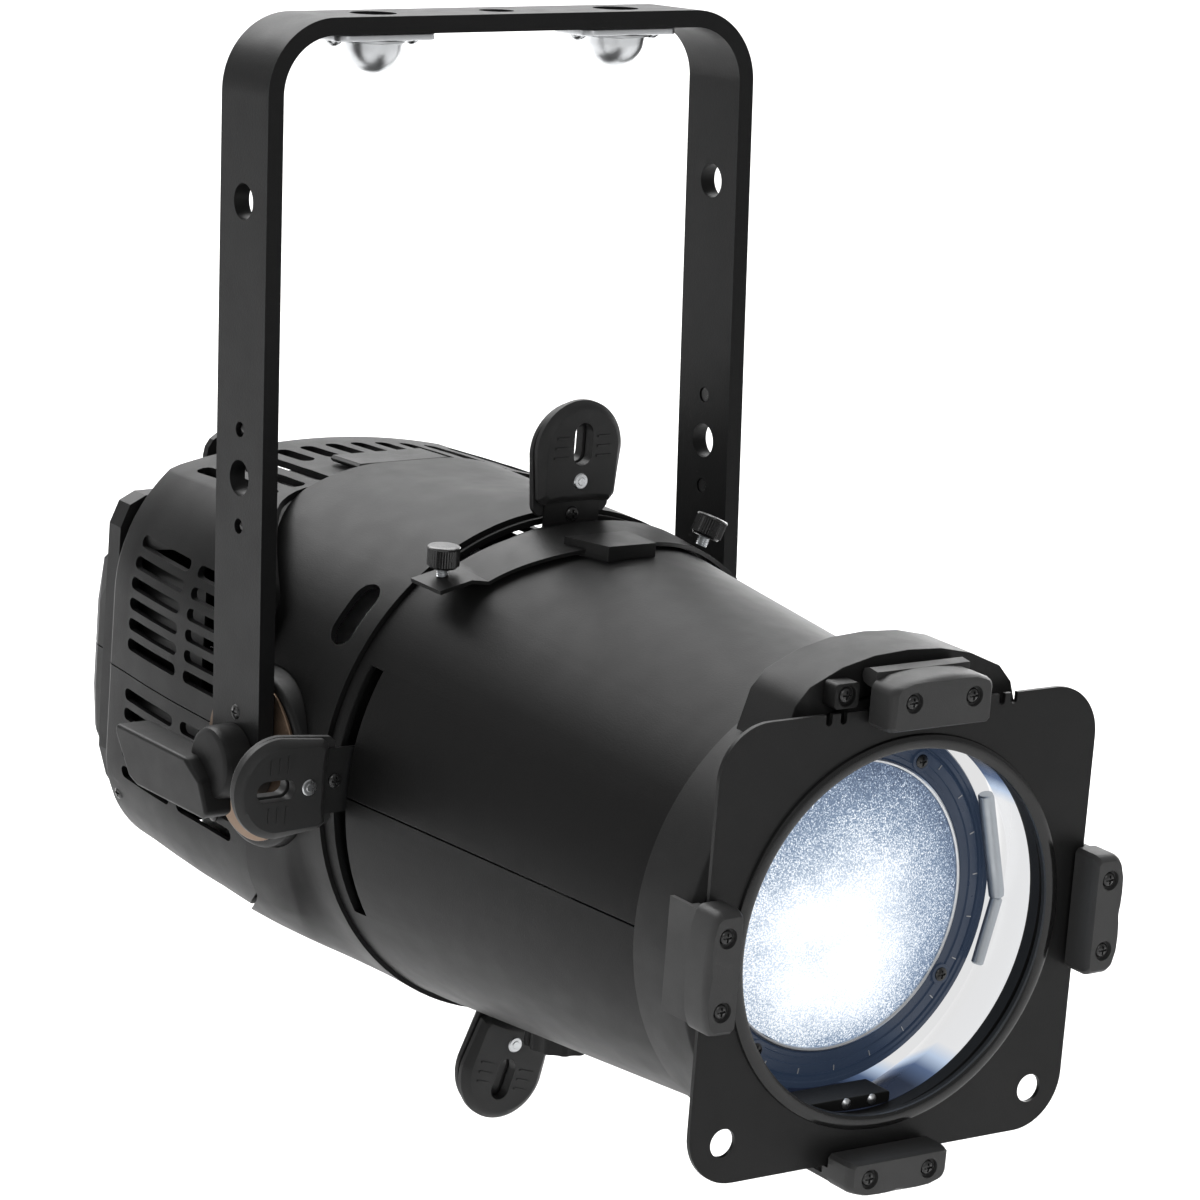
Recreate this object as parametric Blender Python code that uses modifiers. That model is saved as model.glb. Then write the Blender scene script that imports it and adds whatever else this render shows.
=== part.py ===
"""Profile spotlight in a hanging yoke, modelled as an assembly of separate parts.

World frame: origin in the middle of the yoke's top face, +Z up, beam towards -Y, +X on the
right hand of somebody looking along +Y.  The lamp body is modelled in its own beam frame, whose
origin is on the tilt axis: local -Y is the beam direction.  Stations along the beam are given as
distances behind the plane of the gel frame, and back() turns one into a local Y.
"""
import math

import bmesh
import bpy
from mathutils import Matrix, Vector

MM = 0.001
GAP = 0.35 * MM

# Yoke: a flat bar bent to a U
YOKE_INNER = 199.0 * MM
BAR_THICK = 6.35 * MM
BAR_WIDTH = 31.8 * MM
YOKE_BEND = 21.0 * MM
PIVOT_Z = -267.6 * MM
ARM_END = BAR_WIDTH / 2
BOLT_R = 4.9 * MM
BOLT_CLEAR = 5.3 * MM
CLAMP_HOLE_R = 6.5 * MM
TURN_HOLE_R = 8.5 * MM
TURN_HOLE_X = 53.0 * MM
ARM_HOLES = ((-65.5, 6.5), (-147.0, 2.7), (-164.5, 6.5), (-182.0, 2.7))
STOP_SCREW_Z = -250.0 * MM

# Beam frame and stations along it, in millimetres
PITCH = math.radians(4.61)
PIVOT_S = 250.5
FRONT_S = 34.0
SPLIT_S = 209.0
COWL_REAR_S = 308.0
HOUSING_EDGE_S = 378.0
HOUSING_REAR_S = 384.0
COVER_REAR_S = 411.0
REAR_FRAME_THICK = 8.6
WALL = 2.6 * MM
SEAM = 0.3 * MM
COWL_BOW = 46.0
BOW_START = 45.0
BOW_REACH = 85.0
ARCH_R = 280.0
NO_ARCH = 999.0
QUARTER_ANGLES = (13.0, 25.0, 33.0, 38.5, 42.5, 46.5, 50.5, 56.0, 65.0, 77.0)

# Barrel cone: radius at the gel plane and growth per millimetre
BARREL_R0 = 76.4
BARREL_SLOPE = 0.083

# Pivot hubs, vents and badge
HUB_R = 33.0 * MM
HUB_FACE_X = 97.9 * MM
VENT_WIDTH = 4.7 * MM
UPPER_VENT_ROWS = (12.0, 20.0, 28.0, 36.0, 44.0, 52.0)
LOWER_VENT_ROWS = (-7.8, -15.5, -23.2, -30.9, -38.6)
TOP_VENTS = 11
TOP_VENT_PITCH = 11.4
BADGE_HALF = 20.5
PEEP_ANGLE = 52.0

# Rear cover and its fittings: (x, z, half width, half height) or rows of centres
COVER_WALL = 2.6
DISPLAY = (0.0, 16.0, 24.0, 9.0)
POWER_INLET = (-42.0, -34.0, 14.0, 10.5)
BUTTON_X = (-24.0, -8.0, 8.0, 24.0)
BUTTON_Z = -11.0
BUTTON_R = 4.5
SOCKET_X = (8.0, 40.0)
SOCKET_Z = -35.0
SOCKET_R = 11.0
FAN_BLADES = 7

# Shutters: station, angle round the beam, lean, sideways offset and distance of the grip
SHUTTERS = {
    "top": {"station": 203.6, "angle": 90.0, "lean": 0.0, "offset": 1.0, "reach": 99.3},
    "left": {"station": 199.4, "angle": 180.0, "lean": 0.0, "offset": 6.0, "reach": 100.5},
    "bottom": {"station": 206.2, "angle": 270.0, "lean": 18.0, "offset": 4.8, "reach": 98.4},
    "right": {"station": 201.4, "angle": 0.0, "lean": 0.0, "offset": -6.0, "reach": 100.5},
}
BLADE_THICK = 0.8
BLADE_EDGE = 31.0
GRIP_THICK = 9.8
TAB_HALF = 12.0
SLOT_HALF_ANGLE = 29.5
WINDOW_WIDTH = 7.0
COVER_STRIP_FRONT_S = 181.0
COVER_STRIP_REAR_S = 200.0

# Gel frame and its holders
GEL_SIZE = 158.75
GEL_THICK = 1.6
GEL_APERTURE_R = 64.0
CLIP_LENGTH = 46.0
CLIP_FACE = 13.5
CLIP_INNER = 74.5
CLIP_FRONT_S = -15.5
RETAINER_S = 1.5
RETAINER_Z = 90.0
HOOD_FRONT_S = 5.4
HOOD_LENGTH = 24.6

# Lens carriage
LENS_S = 30.0
KNOB_S = 184.0
FOCUS_TRAVEL = 18.0

SCENE_COLLECTION = "profile_spotlight"
CUTTER_COLLECTION = "cutters"


def clear_scene():
    """Start from an empty scene."""
    for item in list(bpy.data.objects):
        bpy.data.objects.remove(item, do_unlink=True)


def make_collection(name):
    """Return a collection linked to the scene."""
    collection = bpy.data.collections.new(name)
    bpy.context.scene.collection.children.link(collection)
    return collection


clear_scene()
PARTS = make_collection(SCENE_COLLECTION)
CUTTERS = make_collection(CUTTER_COLLECTION)


def make_material(name, colour, roughness, metallic=0.0):
    """Return a Principled material."""
    material = bpy.data.materials.new(name)
    material.use_nodes = True
    shader = material.node_tree.nodes["Principled BSDF"]
    shader.inputs["Base Color"].default_value = (*colour, 1.0)
    shader.inputs["Roughness"].default_value = roughness
    shader.inputs["Metallic"].default_value = metallic
    return material


FINISHES = {
    "black_paint": ((0.030, 0.030, 0.032), 0.55, 0.0),
    "black_plastic": ((0.035, 0.035, 0.037), 0.45, 0.0),
    "grey_plastic": ((0.075, 0.075, 0.078), 0.50, 0.0),
    "zinc": ((0.62, 0.62, 0.63), 0.35, 1.0),
    "bronze": ((0.55, 0.40, 0.28), 0.35, 1.0),
    "bright_steel": ((0.55, 0.55, 0.56), 0.30, 1.0),
    "black_steel": ((0.05, 0.05, 0.05), 0.40, 0.6),
    "aluminium": ((0.70, 0.71, 0.72), 0.35, 1.0),
    "lens_glass": ((0.85, 0.90, 0.95), 0.08, 0.0),
    "circuit_board": ((0.04, 0.16, 0.08), 0.50, 0.0),
    "display_glass": ((0.02, 0.03, 0.05), 0.10, 0.0),
    "rubber": ((0.02, 0.02, 0.02), 0.80, 0.0),
}


def material_for(node, finish):
    """Return this node's own copy of a finish."""
    colour, roughness, metallic = FINISHES[finish]
    return make_material(node + "_" + finish, colour, roughness, metallic)


# ---------------------------------------------------------------- frames

def make_empty(name, location, rotation=(0.0, 0.0, 0.0), parent=None):
    """Return an empty that carries a frame."""
    empty = bpy.data.objects.new(name, None)
    empty.location = location
    empty.rotation_euler = rotation
    empty.parent = parent
    PARTS.objects.link(empty)
    return empty


def back(station):
    """Local Y in the beam frame of a station behind the gel plane, in millimetres."""
    return (station - PIVOT_S) * MM


TILT = make_empty("tilt_frame", (0.0, 0.0, PIVOT_Z), (PITCH, 0.0, 0.0))
BARREL = make_empty("barrel_frame", (0.0, 0.0, 0.0), parent=TILT)


# ---------------------------------------------------------------- making solids

def add_object(name, mesh, finish, parent=None, matrix=None):
    """Link a mesh as a named part with its own material."""
    item = bpy.data.objects.new(name, mesh)
    if finish:
        mesh.materials.clear()
        mesh.materials.append(material_for(name, finish))
        PARTS.objects.link(item)
    else:
        CUTTERS.objects.link(item)
        item.hide_render = True
        item.display_type = "WIRE"
    item.parent = parent
    if matrix is not None:
        item.matrix_local = matrix
    return item


def shade(item, angle=35.0):
    """Shade smooth, with sharp edges above an angle in degrees."""
    item.data.shade_smooth()
    item.data.set_sharp_from_angle(angle=math.radians(angle))


def mesh_from(bm, name):
    """Turn a bmesh into mesh data."""
    bmesh.ops.recalc_face_normals(bm, faces=bm.faces[:])
    mesh = bpy.data.meshes.new(name)
    bm.to_mesh(mesh)
    bm.free()
    return mesh


def place(x=0.0, y=0.0, z=0.0, turn=None):
    """Matrix of a place and an optional rotation."""
    matrix = Matrix.Translation((x, y, z))
    if turn is not None:
        matrix = matrix @ turn
    return matrix


def turn_x(degrees):
    """Rotation about X."""
    return Matrix.Rotation(math.radians(degrees), 4, "X")


def turn_y(degrees):
    """Rotation about Y."""
    return Matrix.Rotation(math.radians(degrees), 4, "Y")


def turn_z(degrees):
    """Rotation about Z."""
    return Matrix.Rotation(math.radians(degrees), 4, "Z")


ALONG_X = turn_y(90.0)
ALONG_BACK = turn_x(-90.0)


def box_mesh(bm, size, centre):
    """Add a box of a size in metres, round its centre."""
    matrix = Matrix.Translation(centre) @ Matrix.Diagonal((*size, 1.0))
    bmesh.ops.create_cube(bm, size=1.0, matrix=matrix)


def rod_mesh(bm, radius, length, matrix, segments=24):
    """Add a cylinder whose axis is the matrix's Z."""
    bmesh.ops.create_cone(bm, cap_ends=True, segments=segments, radius1=radius,
                          radius2=radius, depth=length, matrix=matrix)


def box(name, low, high, finish, parent=None, bevel=0.0, segments=1):
    """A box part between two corners, in millimetres, with optional rounded edges."""
    bm = bmesh.new()
    size = [(b - a) * MM for a, b in zip(low, high)]
    centre = [(a + b) / 2 * MM for a, b in zip(low, high)]
    box_mesh(bm, size, (0.0, 0.0, 0.0))
    item = add_object(name, mesh_from(bm, name), finish, parent, Matrix.Translation(centre))
    if bevel:
        add_bevel(item, bevel * MM, segments)
    return item


def beam_box(name, x, station, z, finish, parent=None, bevel=0.0, segments=1):
    """A box part given as ranges of x, station and z in the beam frame."""
    low = (x[0], station[0] - PIVOT_S, z[0])
    high = (x[1], station[1] - PIVOT_S, z[1])
    return box(name, low, high, finish, parent, bevel, segments)


def rod(name, radius, length, matrix, finish, parent=None, segments=32):
    """A cylinder part whose axis is the matrix's Z; sizes in metres."""
    bm = bmesh.new()
    rod_mesh(bm, radius, length, Matrix.Identity(4), segments)
    item = add_object(name, mesh_from(bm, name), finish, parent, matrix)
    shade(item)
    return item


def add_bevel(item, width, segments=1, angle=40.0):
    """Round the sharp edges of a part."""
    bevel = item.modifiers.new("rounded_edges", "BEVEL")
    bevel.width = width
    bevel.segments = segments
    bevel.limit_method = "ANGLE"
    bevel.angle_limit = math.radians(angle)
    return bevel


def boolean(item, tool, operation="DIFFERENCE"):
    """Cut or join a part with a tool object."""
    modifier = item.modifiers.new(operation.lower(), "BOOLEAN")
    modifier.operation = operation
    modifier.solver = "EXACT"
    modifier.object = tool
    return modifier


def turned(name, profile, matrix, finish, parent=None, steps=48):
    """A turned part: (radius, height) points in millimetres, from the outer top down."""
    mesh = bpy.data.meshes.new(name)
    points = [(r * MM, 0.0, h * MM) for r, h in profile]
    closed = profile[0][0] > 0.0 or profile[-1][0] > 0.0
    edges = [(i, i + 1) for i in range(len(points) - 1)]
    if closed:
        edges.append((len(points) - 1, 0))
    mesh.from_pydata(points, edges, [])
    item = add_object(name, mesh, finish, parent, matrix)
    screw = item.modifiers.new("turning", "SCREW")
    screw.axis = "Z"
    screw.steps = steps
    screw.render_steps = steps
    screw.use_merge_vertices = True
    screw.merge_threshold = 0.00001
    screw.use_smooth_shade = True
    return item


def ring_profile(inner, outer, low, high):
    """Closed profile of a plain ring."""
    return [(outer, high), (outer, low), (inner, low), (inner, high)]


def arc(cx, cy, radius, start, end, count):
    """Points of an arc, angles in degrees."""
    step = (end - start) / count
    angles = [math.radians(start + step * i) for i in range(count + 1)]
    return [(cx + radius * math.cos(a), cy + radius * math.sin(a)) for a in angles]


def circle(cx, cy, radius, count=24):
    """Points round a circle, without repeating the first."""
    return arc(cx, cy, radius, 0.0, 360.0, count)[:-1]


def rounded(low_x, low_y, high_x, high_y, radius, count=4):
    """Outline of a rounded rectangle."""
    points = arc(high_x - radius, high_y - radius, radius, 0, 90, count)
    points += arc(low_x + radius, high_y - radius, radius, 90, 180, count)
    points += arc(low_x + radius, low_y + radius, radius, 180, 270, count)
    points += arc(high_x - radius, low_y + radius, radius, 270, 360, count)
    return points


def plate(name, outlines, thick, matrix, finish, parent=None):
    """A flat plate: outlines in millimetres (the first is the edge, the others are holes)."""
    curve = bpy.data.curves.new(name, "CURVE")
    curve.dimensions = "2D"
    curve.fill_mode = "BOTH"
    curve.extrude = thick / 2 * MM
    for outline in outlines:
        spline = curve.splines.new("POLY")
        spline.points.add(len(outline) - 1)
        for point, (x, y) in zip(spline.points, outline):
            point.co = (x * MM, y * MM, 0.0, 1.0)
        spline.use_cyclic_u = True
    return curve_part(name, curve, matrix, finish, parent)


def curve_part(name, curve, matrix, finish, parent=None):
    """Turn curve data into a mesh part with welded caps."""
    holder = bpy.data.objects.new(name + "_curve", curve)
    PARTS.objects.link(holder)
    bpy.context.view_layer.update()
    evaluated = holder.evaluated_get(bpy.context.evaluated_depsgraph_get())
    mesh = bpy.data.meshes.new_from_object(evaluated)
    bm = bmesh.new()
    bm.from_mesh(mesh)
    bmesh.ops.remove_doubles(bm, verts=bm.verts[:], dist=0.00001)
    bpy.data.meshes.remove(mesh)
    bpy.data.objects.remove(holder, do_unlink=True)
    return add_object(name, mesh_from(bm, name), finish, parent, matrix)


# ---------------------------------------------------------------- yoke

def yoke_path():
    """Outline of the bent bar in the XZ plane, in millimetres."""
    inner = YOKE_INNER / 2 / MM
    thick = BAR_THICK / MM
    bend = YOKE_BEND / MM
    end = (PIVOT_Z - ARM_END) / MM
    outer_bend = bend + thick
    centre_x = inner - bend
    centre_z = -thick - bend
    points = [(inner + thick, end)]
    points += arc(centre_x, centre_z, outer_bend, 0, 90, 8)
    points += arc(-centre_x, centre_z, outer_bend, 90, 180, 8)
    points += [(-inner - thick, end), (-inner, end)]
    points += arc(-centre_x, centre_z, bend, 180, 90, 8)
    points += arc(centre_x, centre_z, bend, 90, 0, 8)
    points += [(inner, end)]
    return points


def yoke_cutter():
    """Holes through the bar, and the rounded lower ends of its arms."""
    bm = bmesh.new()
    across = YOKE_INNER + 4 * BAR_THICK
    for z, radius in ARM_HOLES:
        rod_mesh(bm, radius * MM, across, place(z=z * MM) @ ALONG_X, 16)
    rod_mesh(bm, 2.2 * MM, across, place(z=STOP_SCREW_Z) @ ALONG_X, 10)
    rod_mesh(bm, BOLT_CLEAR, across, place(z=PIVOT_Z) @ ALONG_X, 20)
    rod_mesh(bm, CLAMP_HOLE_R, 4 * BAR_THICK, place(), 24)
    for side in (-1, 1):
        rod_mesh(bm, TURN_HOLE_R, 4 * BAR_THICK, place(x=side * TURN_HOLE_X), 24)
    return add_object("yoke_holes", mesh_from(bm, "yoke_holes"), None)


def yoke_end_cutter():
    """Two notches that leave each arm's end as a half circle round the bolt."""
    half = BAR_WIDTH / 2 / MM
    notch = [(-half - 2, -half - 2), (half + 2, -half - 2), (half + 2, 0)]
    notch += arc(0, 0, half - 0.02, 0, -180, 12)
    notch += [(-half - 2, 0)]
    across = (YOKE_INNER + 4 * BAR_THICK) / MM
    matrix = place(z=PIVOT_Z, turn=turn_z(90.0) @ turn_x(90.0))
    return plate("yoke_end_shape", [notch], across, matrix, None)


def make_yoke():
    """The bent flat bar."""
    matrix = turn_x(90.0)
    yoke = plate("yoke_bar", [yoke_path()], BAR_WIDTH / MM, matrix, "black_paint")
    add_bevel(yoke, 1.2 * MM, 1, angle=60.0)
    boolean(yoke, yoke_end_cutter())
    boolean(yoke, yoke_cutter())
    shade(yoke)


def make_receptacle(side, name):
    """Quarter-turn clamp receptacle: riveted flange and hollow cup under the bar."""
    top = -BAR_THICK / MM - GAP / MM
    outline = rounded(-20.5, -11.5, 20.5, 11.5, 8.0, 4)
    matrix = place(side * TURN_HOLE_X, 0.0, (top - 1.25) * MM)
    flange = plate(name, [outline, circle(0, 0, 7.0, 20)], 2.5, matrix, "zinc")
    cup_profile = [(10.8, 0.0), (10.8, -10.5), (8.8, -13.5), (0.0, -13.5),
                   (0.0, -11.5), (7.0, -11.5), (7.0, 0.0)]
    cup = turned(name + "_cup", cup_profile, place(side * TURN_HOLE_X, 0.0, (top - 1.6) * MM),
                 None, steps=20)
    boolean(flange, cup, "UNION")
    shade(flange)


def make_friction_disc(side, suffix):
    """Bronze disc between a hub and its arm."""
    disc = turned("friction_disc_" + suffix, ring_profile(5.3, 31.5, -0.4, 0.4),
                  place(side * (YOKE_INNER / 2 - 0.75 * MM), 0.0, PIVOT_Z) @ ALONG_X, "bronze",
                  steps=32)
    shade(disc)


def make_bolt(suffix, side, outer_end):
    """Bolt from inside a hub out through the arm."""
    inner_end = 84.0
    matrix = place(side * (inner_end + outer_end) / 2 * MM, 0.0, PIVOT_Z) @ ALONG_X
    shank = rod("pivot_bolt_" + suffix, BOLT_R, (outer_end - inner_end) * MM, matrix,
                "bright_steel", segments=20)
    bm = bmesh.new()
    rod_mesh(bm, 9.5 * MM, 4.0 * MM, Matrix.Identity(4), 6)
    head = add_object("bolt_head_" + suffix, mesh_from(bm, "bolt_head"), None, None,
                      place(side * inner_end * MM, 0.0, PIVOT_Z) @ ALONG_X)
    boolean(shank, head, "UNION")


def make_lock_nut():
    """Flanged nut on the right-hand bolt."""
    outer = YOKE_INNER / 2 + BAR_THICK + GAP
    nut = plate("lock_nut", [circle(0, 0, 9.8, 6), circle(0, 0, 5.3, 16)], 9.0,
                place(outer + 4.5 * MM, 0.0, PIVOT_Z) @ ALONG_X, "bright_steel")
    flange = turned("nut_flange", ring_profile(5.3, 13.0, -0.9, 0.9),
                    place(outer + 0.9 * MM, 0.0, PIVOT_Z) @ ALONG_X, None, steps=24)
    boolean(nut, flange, "UNION")


def make_tilt_lever():
    """Clamping lever on the left-hand bolt: a wedge-shaped handle on a round hub."""
    lever_frame = make_empty("lever_frame", (0.0, 0.0, PIVOT_Z))
    outer = -(YOKE_INNER / 2 + BAR_THICK + GAP) / MM
    hub_profile = [(12.0, 12.0), (13.5, 10.0), (13.5, 0.0), (5.3, 0.0), (5.3, 12.0)]
    hub = turned("tilt_lever", hub_profile, place(outer * MM) @ turn_y(-90.0),
                 "black_plastic", lever_frame, steps=24)
    outline = [(4.0, -4.0), (8.0, 2.0), (54.0, 6.0), (56.0, 3.0), (50.0, -15.0),
               (46.0, -17.0), (-2.0, -20.5), (-6.0, -18.0), (-6.5, -12.0)]
    side_turn = Matrix(((0, 0, 1, 0), (1, 0, 0, 0), (0, 1, 0, 0), (0, 0, 0, 1)))
    handle = plate("tilt_lever_handle", [outline], 15.0, place((outer - 10.5) * MM) @ side_turn,
                   None, lever_frame)
    add_bevel(handle, 1.8 * MM, 1)
    boolean(hub, handle, "UNION")
    bore = rod("tilt_lever_bore", 5.3 * MM, 40.0 * MM, place(outer * MM) @ ALONG_X, None,
               lever_frame, 20)
    boolean(hub, bore)
    shade(hub)


# ---------------------------------------------------------------- shells of the lamp body

def boundary(theta, size):
    """Point where a ray from the axis meets a rounded rectangle with an arched top.

    size holds the half width, the top, the bottom, the radii of the top and bottom corners and
    the height of the arch that cuts the top.
    """
    half_width, top, bottom, top_radius, bottom_radius, arch = size
    c = math.cos(theta)
    s = math.sin(theta)
    height, radius = (top, top_radius) if s >= 0 else (bottom, bottom_radius)
    reach = min(half_width / max(abs(c), 1e-9), height / max(abs(s), 1e-9))
    x = reach * abs(c)
    z = reach * abs(s)
    corner_x = half_width - radius
    corner_z = height - radius
    if x > corner_x and z > corner_z:
        along = abs(c) * corner_x + abs(s) * corner_z
        rest = corner_x ** 2 + corner_z ** 2 - radius ** 2
        reach = along + math.sqrt(max(along ** 2 - rest, 0.0))
    if s > 0 and arch < NO_ARCH:
        rise = s * (arch - ARCH_R)
        reach = min(reach, rise + math.sqrt(rise ** 2 + ARCH_R ** 2 - (arch - ARCH_R) ** 2))
    return math.copysign(reach * abs(c), c), math.copysign(reach * abs(s), s)


def half_angles(upper, size):
    """Directions over one half of a section, closest together at its corners."""
    edge = math.asin(SEAM / MM / size[0])
    quarter = [math.radians(a) for a in QUARTER_ANGLES]
    angles = [edge] + quarter + [math.pi / 2]
    angles += [math.pi - a for a in reversed(quarter)] + [math.pi - edge]
    return angles if upper else [-a for a in angles]


def bow(x):
    """How far the join of cowl and housing runs forward at a distance from the middle."""
    share = min(max(abs(x) - BOW_START, 0.0) / (BOW_REACH - BOW_START), 1.0)
    return COWL_BOW * share ** 2


def section_points(row, upper):
    """Points of one half section of a casing: a row is (station, share of bow, size)."""
    station, share, size = row
    points = []
    for theta in half_angles(upper, size):
        x, z = boundary(theta, size)
        points.append((x * MM, back(station - share * bow(x)), z * MM))
    return points


def half_shell(name, rows, upper, finish, parent, wall=WALL):
    """One half of a lofted casing with a wall."""
    bm = bmesh.new()
    grid = [[bm.verts.new(p) for p in section_points(row, upper)] for row in rows]
    for low, high in zip(grid, grid[1:]):
        for i in range(len(low) - 1):
            bm.faces.new((low[i], low[i + 1], high[i + 1], high[i]))
    bmesh.ops.recalc_face_normals(bm, faces=bm.faces[:])
    outer = max(bm.faces, key=lambda f: abs(f.calc_center_median().z))
    if outer.normal.z * outer.calc_center_median().z < 0:
        bmesh.ops.reverse_faces(bm, faces=bm.faces[:])
    mesh = bpy.data.meshes.new(name)
    bm.to_mesh(mesh)
    bm.free()
    item = add_object(name, mesh, finish, parent)
    solid = item.modifiers.new("wall", "SOLIDIFY")
    solid.thickness = wall
    solid.offset = -1.0
    solid.use_even_offset = True
    shade(item)
    return item


def loft_solid(name, rings, finish, parent):
    """A body lofted through rings of points and closed by flat ends."""
    bm = bmesh.new()
    grid = [[bm.verts.new(p) for p in ring] for ring in rings]
    for low, high in zip(grid, grid[1:]):
        for i in range(len(low)):
            j = (i + 1) % len(low)
            bm.faces.new((low[i], low[j], high[j], high[i]))
    bm.faces.new(grid[0])
    bm.faces.new(grid[-1])
    return add_object(name, mesh_from(bm, name), finish, parent)


def whole_section(row, inset):
    """Points all round one section, moved in by an inset."""
    station, share, size = row
    smaller = (station, share, tuple(value - inset for value in size[:5]) + (NO_ARCH,))
    return section_points(smaller, True) + section_points(smaller, False)[::-1]


def round_size(radius):
    """Size of a round section."""
    return (radius, radius, radius, radius, radius, NO_ARCH)


def blend(first, second, share):
    """Size between two sizes."""
    return tuple(a + (b - a) * share for a, b in zip(first, second))


COWL_FRONT = round_size(95.4)
COWL_REAR = (92.0, 90.6, 80.2, 80.0, 46.0, NO_ARCH)


def cowl_rows():
    """Stations of the front cowl, from round to squarer below."""
    shares = ((SPLIT_S + 0.4, 0.0, 0.0), (226.0, 0.1, 0.03), (244.0, 0.35, 0.3),
              (262.0, 0.6, 0.7), (285.0, 0.82, 0.94), (COWL_REAR_S, 1.0, 1.0))
    return [(s, b, blend(COWL_FRONT, COWL_REAR, m)) for s, b, m in shares]


def housing_rows():
    """Stations of the rear housing, whose arched top slopes down to the back."""
    start = COWL_REAR_S + 0.8
    return [(start, 1.0, (90.6, 90.0, 78.2, 60.0, 44.0, 86.8)),
            (320.0, 0.5, (89.4, 90.0, 78.2, 60.0, 44.0, 86.2)),
            (334.0, 0.0, (88.2, 90.0, 78.2, 60.0, 44.0, 85.5)),
            (HOUSING_EDGE_S, 0.0, (84.6, 89.6, 77.0, 60.0, 42.0, 83.2)),
            (HOUSING_REAR_S, 0.0, (80.8, 84.0, 73.0, 56.0, 40.0, 76.0))]


def barrel_rows():
    """Stations of the tapering barrel."""
    return [(s, 0.0, round_size(barrel_radius(s))) for s in (FRONT_S, SPLIT_S)]


def slot_cutter(name, slots, parent):
    """Round-ended slots: (centre, length, width, depth, turn), length along the turned X."""
    bm = bmesh.new()
    for centre, length, width, depth, turn in slots:
        radius = width / 2
        frame = Matrix.Translation(centre) @ turn
        outline = arc(length / 2 - radius, 0, radius, -90, 90, 2)
        outline += arc(-length / 2 + radius, 0, radius, 90, 270, 2)
        lower = [bm.verts.new(frame @ Vector((x, y, -depth / 2))) for x, y in outline]
        upper = [bm.verts.new(frame @ Vector((x, y, depth / 2))) for x, y in outline]
        bm.faces.new(lower[::-1])
        bm.faces.new(upper)
        for i in range(len(outline)):
            j = (i + 1) % len(outline)
            bm.faces.new((lower[i], lower[j], upper[j], upper[i]))
    return add_object(name, mesh_from(bm, name), None, parent)


def side_slots(rows):
    """Two columns of vents on both sides, the front one clear of the pivot hub."""
    slots = []
    turn = turn_y(90.0) @ turn_z(90.0)
    for z in rows:
        hub_reach = math.sqrt(max((HUB_R / MM + 4.5) ** 2 - z ** 2, 0.0))
        front_start = max(276.0, PIVOT_S + hub_reach)
        for start, end in ((324.0, 365.0), (front_start, 318.0)):
            for side in (-1, 1):
                centre = (side * 88.0 * MM, back((start + end) / 2), z * MM)
                slots.append((centre, (end - start) * MM, VENT_WIDTH, 16.0 * MM, turn))
    return slots


def top_slots():
    """Vents along the flat top, short ones behind the badge."""
    slots = []
    for i in range(TOP_VENTS):
        x = (i - (TOP_VENTS - 1) / 2) * TOP_VENT_PITCH
        start = 342.0 if abs(x) < BADGE_HALF + 4.0 else 312.0
        end = 366.0
        centre = (x * MM, back((start + end) / 2), 80.0 * MM)
        slots.append((centre, (end - start) * MM, VENT_WIDTH, 24.0 * MM, turn_z(90.0)))
    return slots


def hub_hole_cutter():
    """Cylinder through both sides round the pivot hubs."""
    bm = bmesh.new()
    rod_mesh(bm, HUB_R + GAP, 260.0 * MM, ALONG_X, 32)
    return add_object("hub_holes", mesh_from(bm, "hub_holes"), None, TILT)


def make_housing(hub_holes):
    """Upper and lower rear housing with their vents."""
    upper = half_shell("housing_upper", housing_rows(), True, "black_paint", TILT)
    boolean(upper, slot_cutter("upper_side_slots", side_slots(UPPER_VENT_ROWS), TILT))
    boolean(upper, slot_cutter("top_slots", top_slots(), TILT))
    lower = half_shell("housing_lower", housing_rows(), False, "black_paint", TILT)
    boolean(lower, slot_cutter("lower_side_slots", side_slots(LOWER_VENT_ROWS), TILT))
    boolean(upper, hub_holes)
    boolean(lower, hub_holes)


def make_cowl(hub_holes):
    """Front cowl in two halves, cut for the pivot hubs and the oval peep holes."""
    upper = half_shell("cowl_upper", cowl_rows(), True, "black_paint", TILT)
    lower = half_shell("cowl_lower", cowl_rows(), False, "black_paint", TILT)
    ovals = []
    for side in (-1, 1):
        angle = math.radians(90.0 + side * PEEP_ANGLE)
        centre = (95.0 * MM * math.cos(angle), back(225.0), 95.0 * MM * math.sin(angle))
        turn = turn_y(90.0 - math.degrees(angle))
        ovals.append((centre, 26.0 * MM, 13.0 * MM, 20.0 * MM, turn))
    boolean(upper, slot_cutter("peep_holes", ovals, TILT))
    boolean(upper, hub_holes)
    boolean(lower, hub_holes)


def make_hub(side, suffix):
    """Round boss on the body that bears on the yoke through the friction disc."""
    profile = [(33.0, 0.0), (33.0, -20.0), (12.0, -20.0), (12.0, -9.0), (5.3, -9.0), (5.3, 0.0)]
    hub = turned("pivot_hub_" + suffix, profile, place(side * HUB_FACE_X) @ turn_y(side * 90.0),
                 "black_plastic", TILT, steps=32)
    shade(hub)


def make_badge():
    """Blank raised badge on the flat top."""
    badge = beam_box("badge_plate", (-BADGE_HALF, BADGE_HALF), (311.5, 333.0), (86.45, 88.95),
                     "black_plastic", TILT, 1.0, 1)
    badge.rotation_euler = (math.radians(-3.0), 0.0, 0.0)


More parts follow.
